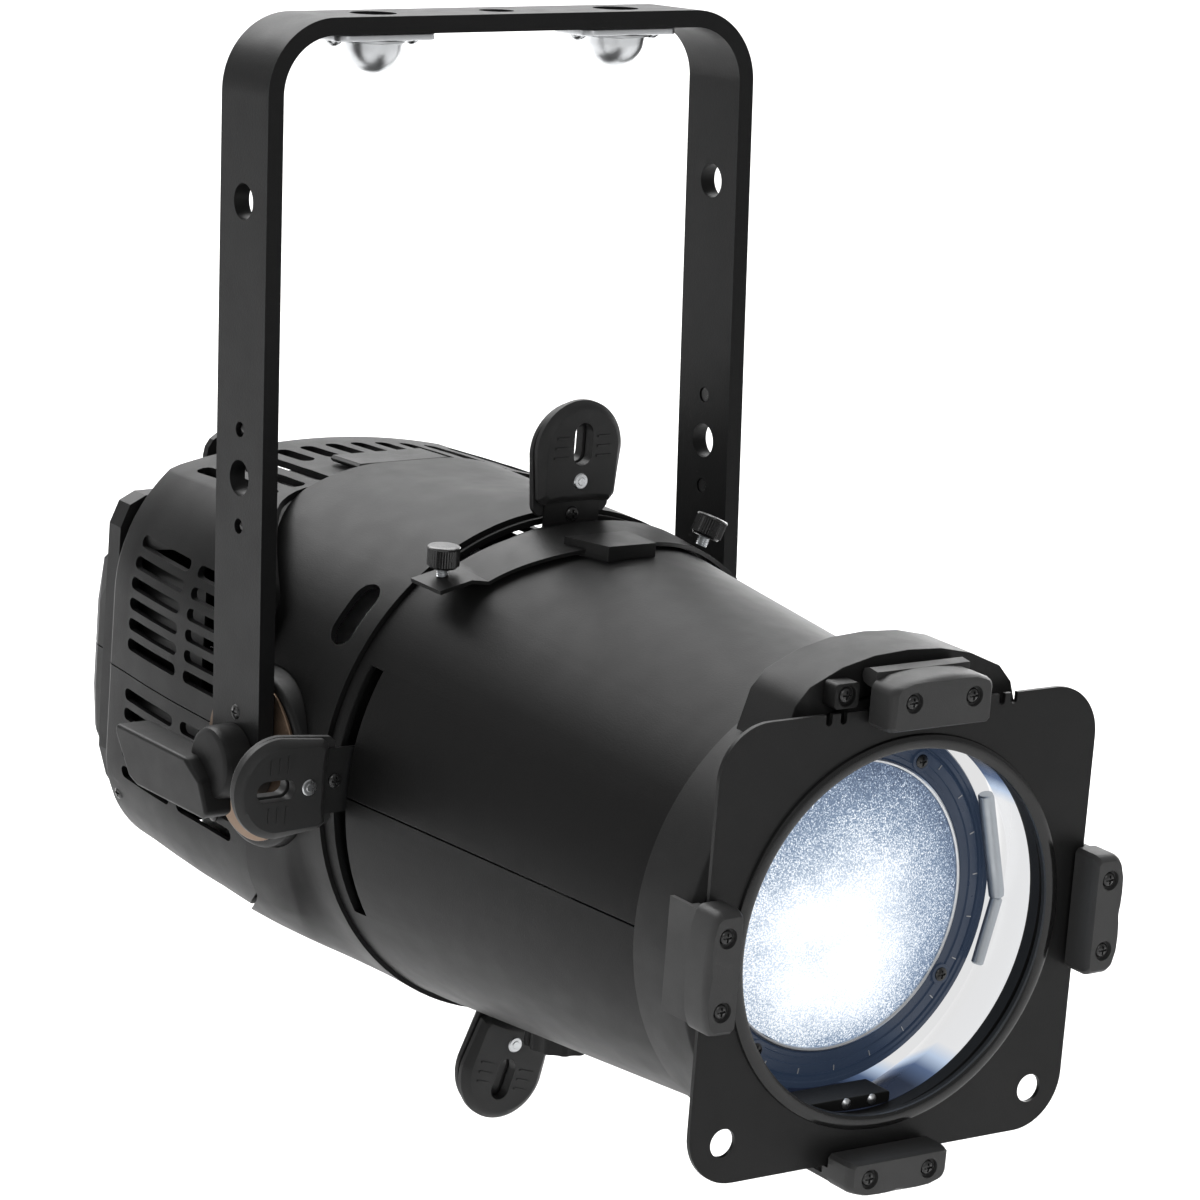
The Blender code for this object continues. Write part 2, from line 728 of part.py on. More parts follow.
def make_rear_frame():
    """Flat frame that closes the housing round the fan opening."""
    size = (80.0, 64.0, 70.0, 12.0, 38.0, NO_ARCH)
    outline = [boundary(theta, size) for theta in half_angles(True, size)]
    outline += [boundary(theta, size) for theta in reversed(half_angles(False, size))]
    opening = circle(0, -2, 37.0, 32)
    thick = REAR_FRAME_THICK
    plate("rear_frame", [outline, opening], thick,
          place(y=back(HOUSING_REAR_S + 0.4 + thick / 2)) @ turn_x(90.0), "black_plastic", TILT)


def cover_rows(start, end):
    """Stations of the rounded rear cover."""
    return [(start, 0.0, (76.5, 49.0, 62.0, 12.0, 36.0, NO_ARCH)),
            (404.0, 0.0, (76.0, 42.5, 61.0, 12.0, 36.0, NO_ARCH)),
            (409.0, 0.0, (74.0, 34.0, 58.0, 12.0, 34.0, NO_ARCH)),
            (end, 0.0, (71.0, 29.0, 54.0, 12.0, 32.0, NO_ARCH))]


def panel_cutter(name, cuts):
    """Holes through the flat back of the rear cover: (x, z, half width, half height)."""
    bm = bmesh.new()
    for x, z, half_width, half_height in cuts:
        centre = (x * MM, back(COVER_REAR_S), z * MM)
        box_mesh(bm, (2 * half_width * MM, 12.0 * MM, 2 * half_height * MM), centre)
    return add_object(name, mesh_from(bm, name), None, TILT)


def round_panel_cutter(name, cuts):
    """Round holes through the flat back of the rear cover: (x, z, radius)."""
    bm = bmesh.new()
    for x, z, radius in cuts:
        matrix = place(x * MM, back(COVER_REAR_S), z * MM) @ ALONG_BACK
        rod_mesh(bm, radius * MM, 12.0 * MM, matrix, 20)
    return add_object(name, mesh_from(bm, name), None, TILT)


def make_rear_cover():
    """Upper and lower rear cover with the openings for display, buttons and sockets."""
    start = HOUSING_REAR_S + REAR_FRAME_THICK + 0.8
    inner = cover_rows(start - 4.0, COVER_REAR_S - 2.6)
    rings = [whole_section(row, COVER_WALL) for row in inner]
    hollow = loft_solid("rear_cover_hollow", rings, None, TILT)
    covers = {}
    for upper, name in ((True, "rear_cover_upper"), (False, "rear_cover_lower")):
        rings = [section_points(row, upper) for row in cover_rows(start, COVER_REAR_S)]
        cover = loft_solid(name, rings, "black_plastic", TILT)
        boolean(cover, hollow)
        covers[upper] = cover
    x, z, half_width, half_height = DISPLAY
    boolean(covers[True], panel_cutter("display_hole", [(x, z, half_width, half_height)]))
    x, z, half_width, half_height = POWER_INLET
    boolean(covers[False], panel_cutter("inlet_hole", [(x, z, half_width, half_height)]))
    rounds = [(x, BUTTON_Z, BUTTON_R + 0.35) for x in BUTTON_X]
    rounds += [(x, SOCKET_Z, SOCKET_R + 0.35) for x in SOCKET_X]
    boolean(covers[False], round_panel_cutter("panel_holes", rounds))


def make_panel_fittings():
    """Display, push buttons, mains inlet and data sockets in the rear cover."""
    x, z, half_width, half_height = DISPLAY
    beam_box("display", (x - half_width + 0.4, x + half_width - 0.4), (406.0, COVER_REAR_S - 0.4),
             (z - half_height + 0.4, z + half_height - 0.4), "display_glass", TILT)
    for i, x in enumerate(BUTTON_X):
        button_frame = make_empty("button_frame_%d" % (i + 1),
                                  (x * MM, back(COVER_REAR_S), BUTTON_Z * MM), parent=TILT)
        rod("menu_button_%d" % (i + 1), BUTTON_R * MM, 7.0 * MM,
            place(y=-2.0 * MM) @ ALONG_BACK, "rubber", button_frame, 20)
    x, z, half_width, half_height = POWER_INLET
    inlet = beam_box("power_inlet", (x - half_width + 0.4, x + half_width - 0.4),
                     (397.0, COVER_REAR_S + 1.0),
                     (z - half_height + 0.4, z + half_height - 0.4), "black_plastic", TILT)
    recess = beam_box("inlet_recess", (x - half_width + 3.0, x + half_width - 3.0),
                      (401.0, COVER_REAR_S + 4.0),
                      (z - half_height + 3.0, z + half_height - 3.0), None, TILT)
    boolean(inlet, recess)
    for suffix, x in zip(("in", "out"), SOCKET_X):
        profile = [(SOCKET_R, 8.0), (SOCKET_R, -8.0), (0.0, -8.0), (0.0, -4.0), (8.0, -4.0),
                   (8.0, 8.0)]
        socket = turned("data_socket_" + suffix, profile,
                        place(x * MM, back(COVER_REAR_S - 7.0), SOCKET_Z * MM) @ ALONG_BACK,
                        "black_steel", TILT, steps=24)
        shade(socket)


def make_safety_eye():
    """Eye for the safety cable on top of the rear frame."""
    outline = rounded(-15.0, 51.0, 15.0, 84.0, 9.0, 4)
    station = HOUSING_REAR_S + 0.4 + REAR_FRAME_THICK + 0.4 + 1.5
    eye = plate("safety_eye", [outline, circle(0, 73.0, 6.0, 16)], 3.0,
                place(-23.0 * MM, back(station)) @ turn_x(90.0), "black_steel", TILT)
    shade(eye)


# ---------------------------------------------------------------- inside the housing

def make_heat_sink():
    """Extruded heat sink: a base plate behind the emitter, with fins towards the fan."""
    fins = 11
    pitch = 9.0
    half = pitch * (fins - 1) / 2 + 1.0
    points = [(-half, 0.0), (half, 0.0)]
    for i in range(fins):
        x = half - 2.0 - pitch * i
        points += [(x + 2.0, 44.0), (x, 44.0)]
        if i < fins - 1:
            points += [(x, 6.0), (x - pitch + 2.0, 6.0)]
    plate("heat_sink", [points], 100.0, place(0.0, back(304.0), -2.0 * MM), "aluminium", TILT)


def make_light_engine():
    """Emitter board and condenser lens."""
    rod("led_board", 34.0 * MM, 1.8 * MM, place(y=back(302.6)) @ ALONG_BACK, "circuit_board",
        TILT, 32)
    profile = [(0.0, 9.0), (18.0, 7.6), (30.0, 4.4), (39.0, 0.0), (30.0, -4.4), (18.0, -7.6),
               (0.0, -9.0)]
    turned("condenser_lens", profile, place(y=back(262.0)) @ ALONG_BACK, "lens_glass", TILT,
           steps=32)


def make_power_supply():
    """Power supply along the bottom of the housing."""
    beam_box("power_supply", (-48.0, 48.0), (306.0, 366.0), (-71.0, -56.0), "aluminium", TILT,
             1.0)


def make_fan():
    """Cooling fan behind the heat sink."""
    centre = (0.0, back(362.5), -2.0 * MM)
    frame = plate("fan_frame", [rounded(-40, -40, 40, 40, 6.0, 3), circle(0, 0, 37.0, 32)], 18.0,
                  Matrix.Translation(centre) @ turn_x(90.0), "black_plastic", TILT)
    shade(frame)
    fan_axis = make_empty("fan_axis", centre, parent=TILT)
    bm = bmesh.new()
    rod_mesh(bm, 13.0 * MM, 14.0 * MM, ALONG_BACK, 20)
    hub = add_object("fan_rotor", mesh_from(bm, "fan_rotor"), "black_plastic", fan_axis)
    blades = bmesh.new()
    for i in range(FAN_BLADES):
        tilt = turn_y(360.0 / FAN_BLADES * i) @ Matrix.Translation((23.0 * MM, 0.0, 0.0))
        size = Matrix.Diagonal((24.0 * MM, 1.6 * MM, 16.0 * MM, 1.0))
        bmesh.ops.create_cube(blades, size=1.0, matrix=tilt @ turn_x(35.0) @ size)
    tool = add_object("fan_blades", mesh_from(blades, "fan_blades"), None, fan_axis)
    boolean(hub, tool, "UNION")
    shade(hub)


# ---------------------------------------------------------------- barrel

def barrel_radius(station):
    """Outer radius of the barrel at a station."""
    return BARREL_R0 + BARREL_SLOPE * station


def window_rings(bm, low, high, middle):
    """Add one circumferential window as a bent block."""
    steps = 12
    rows = []
    for i in range(steps + 1):
        angle = math.radians(middle - SLOT_HALF_ANGLE + 2 * SLOT_HALF_ANGLE * i / steps)
        corners = ((80.0, low), (104.0, low), (104.0, high), (80.0, high))
        ring = [(r * MM * math.cos(angle), back(s), r * MM * math.sin(angle))
                for r, s in corners]
        rows.append([bm.verts.new(p) for p in ring])
    for a, b in zip(rows, rows[1:]):
        for k in range(4):
            m = (k + 1) % 4
            bm.faces.new((a[k], a[m], b[m], b[k]))
    bm.faces.new(rows[0])
    bm.faces.new(rows[-1][::-1])


def make_barrel():
    """The two half shells of the barrel, with shutter windows and the focus slot."""
    bm = bmesh.new()
    for data in SHUTTERS.values():
        low = min(data["station"] - WINDOW_WIDTH / 2, SPLIT_S - WINDOW_WIDTH - 1.0)
        window_rings(bm, low, low + WINDOW_WIDTH, data["angle"])
    windows = add_object("shutter_windows", mesh_from(bm, "shutter_windows"), None, BARREL)
    upper = half_shell("barrel_upper", barrel_rows(), True, "black_paint", BARREL)
    lower = half_shell("barrel_lower", barrel_rows(), False, "black_paint", BARREL)
    boolean(upper, windows)
    boolean(lower, windows)
    middle = KNOB_S - FOCUS_TRAVEL / 2
    slot = ((0.0, back(middle), -90.0 * MM), (FOCUS_TRAVEL + 8.0) * MM, 7.0 * MM, 20.0 * MM,
            turn_z(90.0))
    boolean(lower, slot_cutter("focus_slot", [slot], BARREL))


def make_gate():
    """Gate plates in front of and behind the shutter blades."""
    for name, station, outer in (("gate_front", 194.6, 88.5), ("gate_rear", 208.2, 89.2)):
        turned(name, ring_profile(34.0, outer, -0.8, 0.8), place(y=back(station)) @ ALONG_BACK,
               "black_steel", BARREL, steps=40)


def grip_outline():
    """Outline of a D-shaped grip: narrow base at y=0, round end outwards."""
    return [(-15.2, 0.0), (15.2, 0.0)] + arc(0.0, 19.4, 18.7, 0, 180, 12)


def grip_slot():
    """Long hole through a grip."""
    return arc(0.0, 25.0, 3.3, 0, 180, 4) + arc(0.0, 18.0, 3.3, 180, 360, 4)


def make_shutter(key):
    """One framing shutter: a steel blade with a tab, and the grip clamped on it."""
    data = SHUTTERS[key]
    frame = make_empty("shutter_frame_" + key, (0.0, 0.0, 0.0), parent=BARREL)
    turn = turn_y(90.0 - data["angle"])
    frame.matrix_local = place(y=back(data["station"]), turn=turn)
    base = place(data["offset"] * MM, 0.0, data["reach"] * MM) @ turn_y(data["lean"])
    upright = base @ turn_x(90.0)
    half = 24.0
    depth = data["reach"] - BLADE_EDGE
    blade = [(-TAB_HALF, 30.0), (-TAB_HALF, -24.0), (-half, -36.0), (-half, -depth),
             (half, -depth), (half, -36.0), (TAB_HALF, -24.0), (TAB_HALF, 30.0)]
    blade += [(4.2, 30.0), (4.2, 12.6), (-4.2, 12.6), (-4.2, 30.0)]
    plate("shutter_blade_" + key, [blade], BLADE_THICK, upright, "black_steel", frame)
    grip = plate("shutter_grip_" + key, [grip_outline(), grip_slot()], GRIP_THICK, upright,
                 "black_plastic", frame)
    bm = bmesh.new()
    size = ((2 * TAB_HALF + 0.7) * MM, (BLADE_THICK + 0.7) * MM, 40.0 * MM)
    box_mesh(bm, size, (0.0, 0.0, (31.0 - 20.0) * MM))
    pocket = add_object("grip_pocket_" + key, mesh_from(bm, "grip_pocket"), None, frame, base)
    boolean(grip, pocket)
    shade(grip)


def make_collar():
    """Front collar that closes the barrel and carries the gel holders."""
    rear = FRONT_S - 0.4
    profile = [(82.4, rear), (82.6, 5.5), (80.4, 2.4), (69.0, 2.4), (66.5, 4.0), (66.5, 20.0),
               (73.0, rear)]
    collar = turned("front_collar", profile, place(y=back(0.0)) @ ALONG_BACK, "black_plastic",
                    BARREL, steps=48)
    shade(collar)


def cross_block(name, profile, half_length, finish, parent, matrix):
    """A block of constant (station, height) profile across X, in millimetres."""
    bm = bmesh.new()
    left = [bm.verts.new((-half_length * MM, s * MM, z * MM)) for s, z in profile]
    right = [bm.verts.new((half_length * MM, s * MM, z * MM)) for s, z in profile]
    bm.faces.new(left)
    bm.faces.new(right[::-1])
    for i in range(len(profile)):
        j = (i + 1) % len(profile)
        bm.faces.new((left[i], right[i], right[j], left[j]))
    return add_object(name, mesh_from(bm, name), finish, parent, matrix)


def make_clip(name, angle):
    """Holder that hooks over one side of the gel frame; drawn at the top and turned."""
    outer = CLIP_INNER + CLIP_FACE
    wall = GEL_SIZE / 2 + 1.2
    profile = [(CLIP_FRONT_S, CLIP_INNER), (CLIP_FRONT_S, outer), (12.0, outer), (12.0, 83.4),
               (2.0, 83.4), (2.0, wall), (-3.0, wall), (-3.0, CLIP_INNER)]
    matrix = place(y=back(0.0)) @ turn_y(90.0 - angle)
    clip = cross_block(name, profile, CLIP_LENGTH / 2, "grey_plastic", BARREL, matrix)
    add_bevel(clip, 1.2 * MM, 1)


def make_gel_frame():
    """Square accessory frame with a round aperture and two hanging holes."""
    half = GEL_SIZE / 2
    outline = rounded(-half, -half, half, half, 19.0, 5)
    holes = [circle(0, 0, GEL_APERTURE_R, 40), circle(-65.5, -64.7, 5.0, 12),
             circle(65.5, -64.7, 5.0, 12)]
    plate("gel_frame", [outline] + holes, GEL_THICK, place(y=back(-0.9)) @ turn_x(90.0),
          "black_steel", BARREL)


def make_retainer():
    """Hinged top retainer of the gel frame, and the hood behind it."""
    pivot = make_empty("retainer_frame", (0.0, back(RETAINER_S), RETAINER_Z * MM), parent=BARREL)
    profile = [(CLIP_FRONT_S, 78.5), (CLIP_FRONT_S, 91.0), (-12.6, 93.4), (1.0, 93.2),
               (3.6, 92.2), (4.6, 90.0), (3.6, 87.8), (1.0, 87.0), (-3.0, 86.6), (-3.0, 78.5)]
    local = [(s - RETAINER_S, z - RETAINER_Z) for s, z in profile]
    cross_block("gel_retainer", local, CLIP_LENGTH / 2, "grey_plastic", pivot,
                Matrix.Identity(4))
    hood = [(-50.0, 67.5), (-45.5, 81.0), (-40.0, 87.0), (-27.0, 92.6), (-14.0, 95.4)]
    hood += [(0.0, 96.2), (14.0, 95.4), (27.0, 92.6), (40.0, 87.0), (45.5, 81.0), (50.0, 67.5)]
    hood += arc(0.0, 0.0, 83.4, 53.5, 126.5, 8)
    plate("retainer_hood", [hood], HOOD_LENGTH,
          place(y=back(HOOD_FRONT_S + HOOD_LENGTH / 2)) @ turn_x(90.0), "black_plastic", BARREL)


def slot_cover_strip():
    """Curved strip over the accessory slot, widest in the middle."""
    bm = bmesh.new()
    rows = []
    count = 16
    for i in range(count + 1):
        share = i / count
        angle = math.radians(131.0 - 82.0 * share)
        belly = math.sin(math.pi * share) ** 2
        row = []
        for s in (COVER_STRIP_FRONT_S - 15.0 * belly, COVER_STRIP_REAR_S - 9.0 * belly):
            radius = (barrel_radius(s) + 2.8) * MM
            row.append(bm.verts.new((radius * math.cos(angle), back(s),
                                     radius * math.sin(angle))))
        rows.append(row)
    for a, b in zip(rows, rows[1:]):
        bm.faces.new((a[0], b[0], b[1], a[1]))
    bmesh.ops.recalc_face_normals(bm, faces=bm.faces[:])
    if bm.faces[:][count // 2].normal.z < 0:
        bmesh.ops.reverse_faces(bm, faces=bm.faces[:])
    mesh = bpy.data.meshes.new("slot_cover")
    bm.to_mesh(mesh)
    bm.free()
    return mesh


def make_slot_cover():
    """Slot cover with its raised box and the flat lug under the left screw."""
    cover = add_object("slot_cover", slot_cover_strip(), "black_paint", BARREL)
    solid = cover.modifiers.new("wall", "SOLIDIFY")
    solid.thickness = 2.2 * MM
    solid.offset = -1.0
    raised = beam_box("cover_box", (-19.0, 7.0), (158.5, 177.0), (80.0, 94.6), None, BARREL)
    lug = beam_box("cover_lug", (-69.0, -50.0), (181.5, 201.0), (75.6, 78.0), None, BARREL)
    under_profile = [(barrel_radius(220.0) + 0.4, 80.0), (barrel_radius(140.0) + 0.4, 0.0),
                     (0.0, 0.0), (0.0, 80.0)]
    under = turned("cover_under", under_profile, place(y=back(140.0)) @ ALONG_BACK, None, BARREL,
                   steps=72)
    boolean(cover, raised, "UNION")
    boolean(cover, lug, "UNION")
    boolean(cover, under)
    shade(cover)


def make_cover_screw(suffix, x, z, station, lean):
    """Knurled screw that holds the slot cover."""
    profile = [(0.0, 12.4), (5.9, 12.4), (6.4, 11.6), (6.4, 4.4), (5.6, 3.6), (2.2, 3.6),
               (2.2, 0.0), (0.0, 0.0)]
    matrix = place(x * MM, back(station), z * MM) @ turn_y(lean)
    screw = turned("cover_screw_" + suffix, profile, matrix, "black_steel", BARREL, steps=20)
    shade(screw)


def make_lens():
    """Sliding lens carriage with its lens and the focus knob below the barrel."""
    frame = make_empty("carriage_frame", (0.0, back(LENS_S), 0.0), parent=BARREL)
    tube = turned("lens_carriage", ring_profile(52.0, 61.0, 0.0, 30.0), ALONG_BACK,
                  "black_plastic", frame, steps=40)
    bm = bmesh.new()
    box_mesh(bm, (10.0 * MM, 6.0 * MM, 18.0 * MM), (0.0, 27.0 * MM, -66.0 * MM))
    boolean(tube, add_object("carriage_link", mesh_from(bm, "link"), None, frame), "UNION")
    bm = bmesh.new()
    bar_end = KNOB_S - LENS_S + 6.0
    box_mesh(bm, (10.0 * MM, (bar_end - 24.5) * MM, 3.0 * MM),
             (0.0, (bar_end + 24.5) / 2 * MM, -74.5 * MM))
    boolean(tube, add_object("carriage_bar", mesh_from(bm, "bar"), None, frame), "UNION")
    shade(tube)
    lens_profile = [(0.0, 9.0), (18.0, 8.0), (36.0, 5.0), (50.5, 0.6), (50.5, -4.0),
                    (0.0, -4.0)]
    turned("front_lens", lens_profile, place(y=4.0 * MM) @ turn_x(90.0), "lens_glass", frame,
           steps=40)
    knob_frame = make_empty("knob_frame", (0.0, (KNOB_S - LENS_S) * MM, -92.0 * MM),
                            parent=frame)
    knob_profile = [(2.6, 15.6), (2.6, -2.0), (12.4, -2.0), (13.4, -3.0), (13.4, -9.0),
                    (12.4, -10.0), (0.0, -10.0), (0.0, 15.6)]
    knob = turned("focus_knob", knob_profile, Matrix.Identity(4), "black_plastic", knob_frame,
                  steps=24)
    shade(knob)


def build():
    """Build every part."""
    make_yoke()
    for side, suffix in ((-1, "left"), (1, "right")):
        make_receptacle(side, "clamp_receptacle_" + suffix)
        make_friction_disc(side, suffix)
        make_hub(side, suffix)
    make_bolt("left", -1, 114.0)
    make_bolt("right", 1, 116.0)
    make_lock_nut()
    make_tilt_lever()
    hub_holes = hub_hole_cutter()
    make_housing(hub_holes)
    make_cowl(hub_holes)
    make_badge()
    make_rear_frame()
    make_rear_cover()
    make_panel_fittings()
    make_safety_eye()
    make_heat_sink()
    make_light_engine()
    make_power_supply()
    make_fan()
    make_barrel()
    make_gate()
    for key in SHUTTERS:
        make_shutter(key)
    make_collar()
    make_clip("gel_clip_left", 180.0)
    make_clip("gel_clip_right", 0.0)
    make_clip("gel_clip_bottom", 270.0)
    make_gel_frame()
    make_retainer()
    make_slot_cover()
    make_cover_screw("left", -59.5, 78.4, 194.0, 0.0)
    make_cover_screw("right", 50.6, 82.0, 190.0, 24.0)
    make_lens()


build()
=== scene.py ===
"""Looks of a profile spotlight hung in its yoke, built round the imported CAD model.

Shapes are drawn in millimetres in one of two frames and then moved into the model's frame:
YOKE has its origin on top of the yoke bar; LAMP follows the lamp body, with X across, Y the
station behind the plane of the accessory frame and Z the height above the beam axis.
"""
import math

import bmesh
import bpy
import numpy as np
from mathutils import Matrix, Vector


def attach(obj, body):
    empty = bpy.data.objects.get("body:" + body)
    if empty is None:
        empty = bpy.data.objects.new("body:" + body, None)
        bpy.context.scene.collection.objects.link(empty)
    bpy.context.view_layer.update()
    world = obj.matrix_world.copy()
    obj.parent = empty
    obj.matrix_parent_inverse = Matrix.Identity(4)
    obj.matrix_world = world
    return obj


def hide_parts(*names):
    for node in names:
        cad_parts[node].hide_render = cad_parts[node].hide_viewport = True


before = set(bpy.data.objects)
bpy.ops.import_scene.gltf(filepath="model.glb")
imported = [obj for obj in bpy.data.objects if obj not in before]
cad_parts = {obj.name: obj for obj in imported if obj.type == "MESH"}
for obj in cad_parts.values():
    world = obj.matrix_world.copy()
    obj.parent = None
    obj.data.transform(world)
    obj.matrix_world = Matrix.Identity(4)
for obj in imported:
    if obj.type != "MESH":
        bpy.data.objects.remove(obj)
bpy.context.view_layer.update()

MM = 0.001
PITCH = math.radians(4.61)
PIVOT_Z = -267.6
PIVOT_S = 250.5
YOKE = Matrix.Scale(MM, 4)
LAMP = (Matrix.Translation((0.0, 0.0, PIVOT_Z * MM)) @ Matrix.Rotation(PITCH, 4, "X")
        @ Matrix.Scale(MM, 4) @ Matrix.Translation((0.0, -PIVOT_S, 0.0)))
HALF_FRAME = 158.75 / 2
APERTURE_R = 64.0
RECEPTACLE_X = 53.0
YOKE_HALF_WIDTH = 15.9
YOKE_INNER_X = 99.5
YOKE_THICK = 6.35
HUB_HOLE_R = 33.4
TOP_VENTS = 11
TOP_VENT_PITCH = 11.4
NO_ARCH = 999.0
ARCH_R = 280.0
CAMERA_AZIMUTH = -35.43
CAMERA_ELEVATION = 10.70
CAMERA_ROLL = 1.67
CAMERA_TARGET = (53.79, 0.0, -222.5)
CAMERA_DISTANCE = 1887.04
SIDES = ((-1, "left"), (1, "right"))
# Each shutter: station, angle round the beam, lean, sideways offset and reach of the grip
SHUTTER_FACTS = {"top": (203.6, 90.0, 0.0, 1.0, 99.3), "left": (199.4, 180.0, 0.0, 6.0, 100.5),
                 "bottom": (206.2, 270.0, 18.0, 4.8, 98.4), "right": (201.4, 0.0, 0.0, -6.0, 100.5)}


def turn(axis, degrees):
    """Rotation matrix about a named axis."""
    return Matrix.Rotation(math.radians(degrees), 4, axis)


def at(x, y, z, *turns):
    """Matrix of a place followed by rotations."""
    matrix = Matrix.Translation((x, y, z))
    for item in turns:
        matrix = matrix @ item
    return matrix


ACROSS = turn("Y", 90.0)
BACKWARD = turn("X", -90.0)
FACING = turn("X", 90.0)
SIDEWAYS = Matrix(((0, 0, 1, 0), (1, 0, 0, 0), (0, 1, 0, 0), (0, 0, 0, 1)))


# ------------------------------------------------------------------ materials

def node_material(name, slot_colour, roughness, metallic=0.0):
    """Principled material and a small handle for adding nodes."""
    material = bpy.data.materials.new(name)
    material.use_nodes = True
    tree = material.node_tree
    shader = tree.nodes["Principled BSDF"]
    shader.inputs["Base Color"].default_value = (*slot_colour, 1.0)
    shader.inputs["Roughness"].default_value = roughness
    shader.inputs["Metallic"].default_value = metallic
    return material, tree, shader


def add_node(tree, kind, **inputs):
    """Add a node and set its inputs by name."""
    node = tree.nodes.new(kind)
    for key, value in inputs.items():
        node.inputs[key.replace("_", " ")].default_value = value
    return node


def object_coords(tree):
    """Object coordinates, from one shared node."""
    coords = tree.nodes.get("coords") or tree.nodes.new("ShaderNodeTexCoord")
    coords.name = "coords"
    return coords.outputs["Object"]


def noise(tree, scale, detail=2.0, rough=0.5):
    """Noise texture in object coordinates."""
    texture = add_node(tree, "ShaderNodeTexNoise", Scale=scale, Detail=detail, Roughness=rough)
    tree.links.new(object_coords(tree), texture.inputs["Vector"])
    return texture.outputs["Fac"]


def vector_math(tree, operation, source, constant=None):
    """Vector maths node fed by a socket and, at times, a constant."""
    node = tree.nodes.new("ShaderNodeVectorMath")
    node.operation = operation
    tree.links.new(source, node.inputs[0])
    if constant is not None:
        node.inputs[1].default_value = constant
    return node


def value_math(tree, operation, *sources):
    """Maths node fed by sockets or plain numbers."""
    node = tree.nodes.new("ShaderNodeMath")
    node.operation = operation
    for socket, source in zip(node.inputs, sources):
        if isinstance(source, float):
            socket.default_value = source
        else:
            tree.links.new(source, socket)
    return node.outputs[0]


def ramp(tree, source, stops):
    """Colour ramp of (position, colour) stops."""
    node = tree.nodes.new("ShaderNodeValToRGB")
    tree.links.new(source, node.inputs["Fac"])
    elements = node.color_ramp.elements
    while len(elements) < len(stops):
        elements.new(0.5)
    for element, (position, colour) in zip(elements, stops):
        element.position = position
        element.color = (*colour, 1.0)
    return node.outputs["Color"]


def map_range(tree, source, low, high, start=0.3, end=0.7):
    """Rescale a value."""
    node = tree.nodes.new("ShaderNodeMapRange")
    tree.links.new(source, node.inputs["Value"])
    node.inputs["From Min"].default_value = start
    node.inputs["From Max"].default_value = end
    node.inputs["To Min"].default_value = low
    node.inputs["To Max"].default_value = high
    return node.outputs["Result"]


def bump(tree, shader, source, strength, distance):
    """Bump the surface from a height."""
    node = add_node(tree, "ShaderNodeBump", Strength=strength, Distance=distance)
    tree.links.new(source, node.inputs["Height"])
    tree.links.new(node.outputs["Normal"], shader.inputs["Normal"])
    return node


def mottled(name, dark, light, rough_low, rough_high, grain, depth, strength=0.5, metallic=0.0,
            specular=0.3):
    """Surface with colour mottling, uneven gloss and a fine grain."""
    material, tree, shader = node_material(name, light, rough_high, metallic)
    shader.inputs["Specular IOR Level"].default_value = specular
    broad = noise(tree, 14.0, 4.0)
    speck = noise(tree, grain * 0.35, 2.0, 0.7)
    blend = value_math(tree, "MULTIPLY_ADD", speck, 0.35, map_range(tree, broad, 0.0, 0.65))
    colour = ramp(tree, blend, ((0.1, dark), (0.85, light)))
    tree.links.new(colour, shader.inputs["Base Color"])
    fine = noise(tree, 90.0, 3.0)
    tree.links.new(map_range(tree, fine, rough_low, rough_high), shader.inputs["Roughness"])
    bump(tree, shader, noise(tree, grain, 2.0, 0.6), strength, depth)
    return material


def grey(value, tint=0.0):
    """Neutral colour, slightly blue for a positive tint."""
    return (value * (1 - tint), value, value * (1 + tint))


def plated(name, base, roughness, swirl=60.0, tint=0.04):
    """Bright plated or bare metal with faint clouding."""
    material, tree, shader = node_material(name, grey(base, tint), roughness, 1.0)
    cloud = noise(tree, swirl, 4.0)
    tree.links.new(ramp(tree, cloud, ((0.3, grey(base * 0.86, tint)), (0.7, grey(base, tint)))),
                   shader.inputs["Base Color"])
    tree.links.new(map_range(tree, noise(tree, 260.0, 3.0), roughness * 0.85, roughness * 1.2),
                   shader.inputs["Roughness"])
    bump(tree, shader, noise(tree, 900.0), 0.08, 0.0001)
    return material


def lens_material():
    """Front lens with a painted glow: white low in the middle, bluish and stippled towards the rim.
    """
    material, tree, shader = node_material("lens_lit", (0.75, 0.82, 0.92), 0.12)
    # The emission paints the glow: a bright middle (radial), a stippled sparkle (grain, sparkle) and
    # cloudy patches (cloud).
    away = vector_math(tree, "SUBTRACT", object_coords(tree), LAMP @ Vector((-6.0, 25.0, -12.0)))
    length = vector_math(tree, "LENGTH", away.outputs["Vector"])
    radial = map_range(tree, length.outputs["Value"], 0.94, 0.0, 0.016, 0.064)
    cells = add_node(tree, "ShaderNodeTexVoronoi", Scale=1900.0)
    cells.feature = "F1"
    tree.links.new(object_coords(tree), cells.inputs["Vector"])
    sparkle = map_range(tree, cells.outputs["Distance"], 1.0, 0.0, 0.20, 0.72)
    grain = map_range(tree, noise(tree, 1300.0, 3.0, 0.7), 0.0, 1.0, 0.36, 0.64)
    cloud = map_range(tree, noise(tree, 34.0, 3.0), 0.75, 1.1, 0.35, 0.65)
    total = value_math(tree, "MULTIPLY_ADD", grain, sparkle, radial)
    glow = value_math(tree, "MULTIPLY", total, cloud)
    colour = ramp(tree, glow, ((0.05, (0.025, 0.04, 0.08)), (0.42, (0.15, 0.21, 0.31)),
                              (0.75, (0.62, 0.69, 0.77)), (1.0, (0.98, 0.99, 1.0))))
    tree.links.new(colour, shader.inputs["Emission Color"])
    shader.inputs["Emission Strength"].default_value = 1.05
    shader.inputs["Base Color"].default_value = (0.10, 0.13, 0.18, 1.0)
    bump(tree, shader, cells.outputs["Distance"], 0.5, 0.0006)
    return material


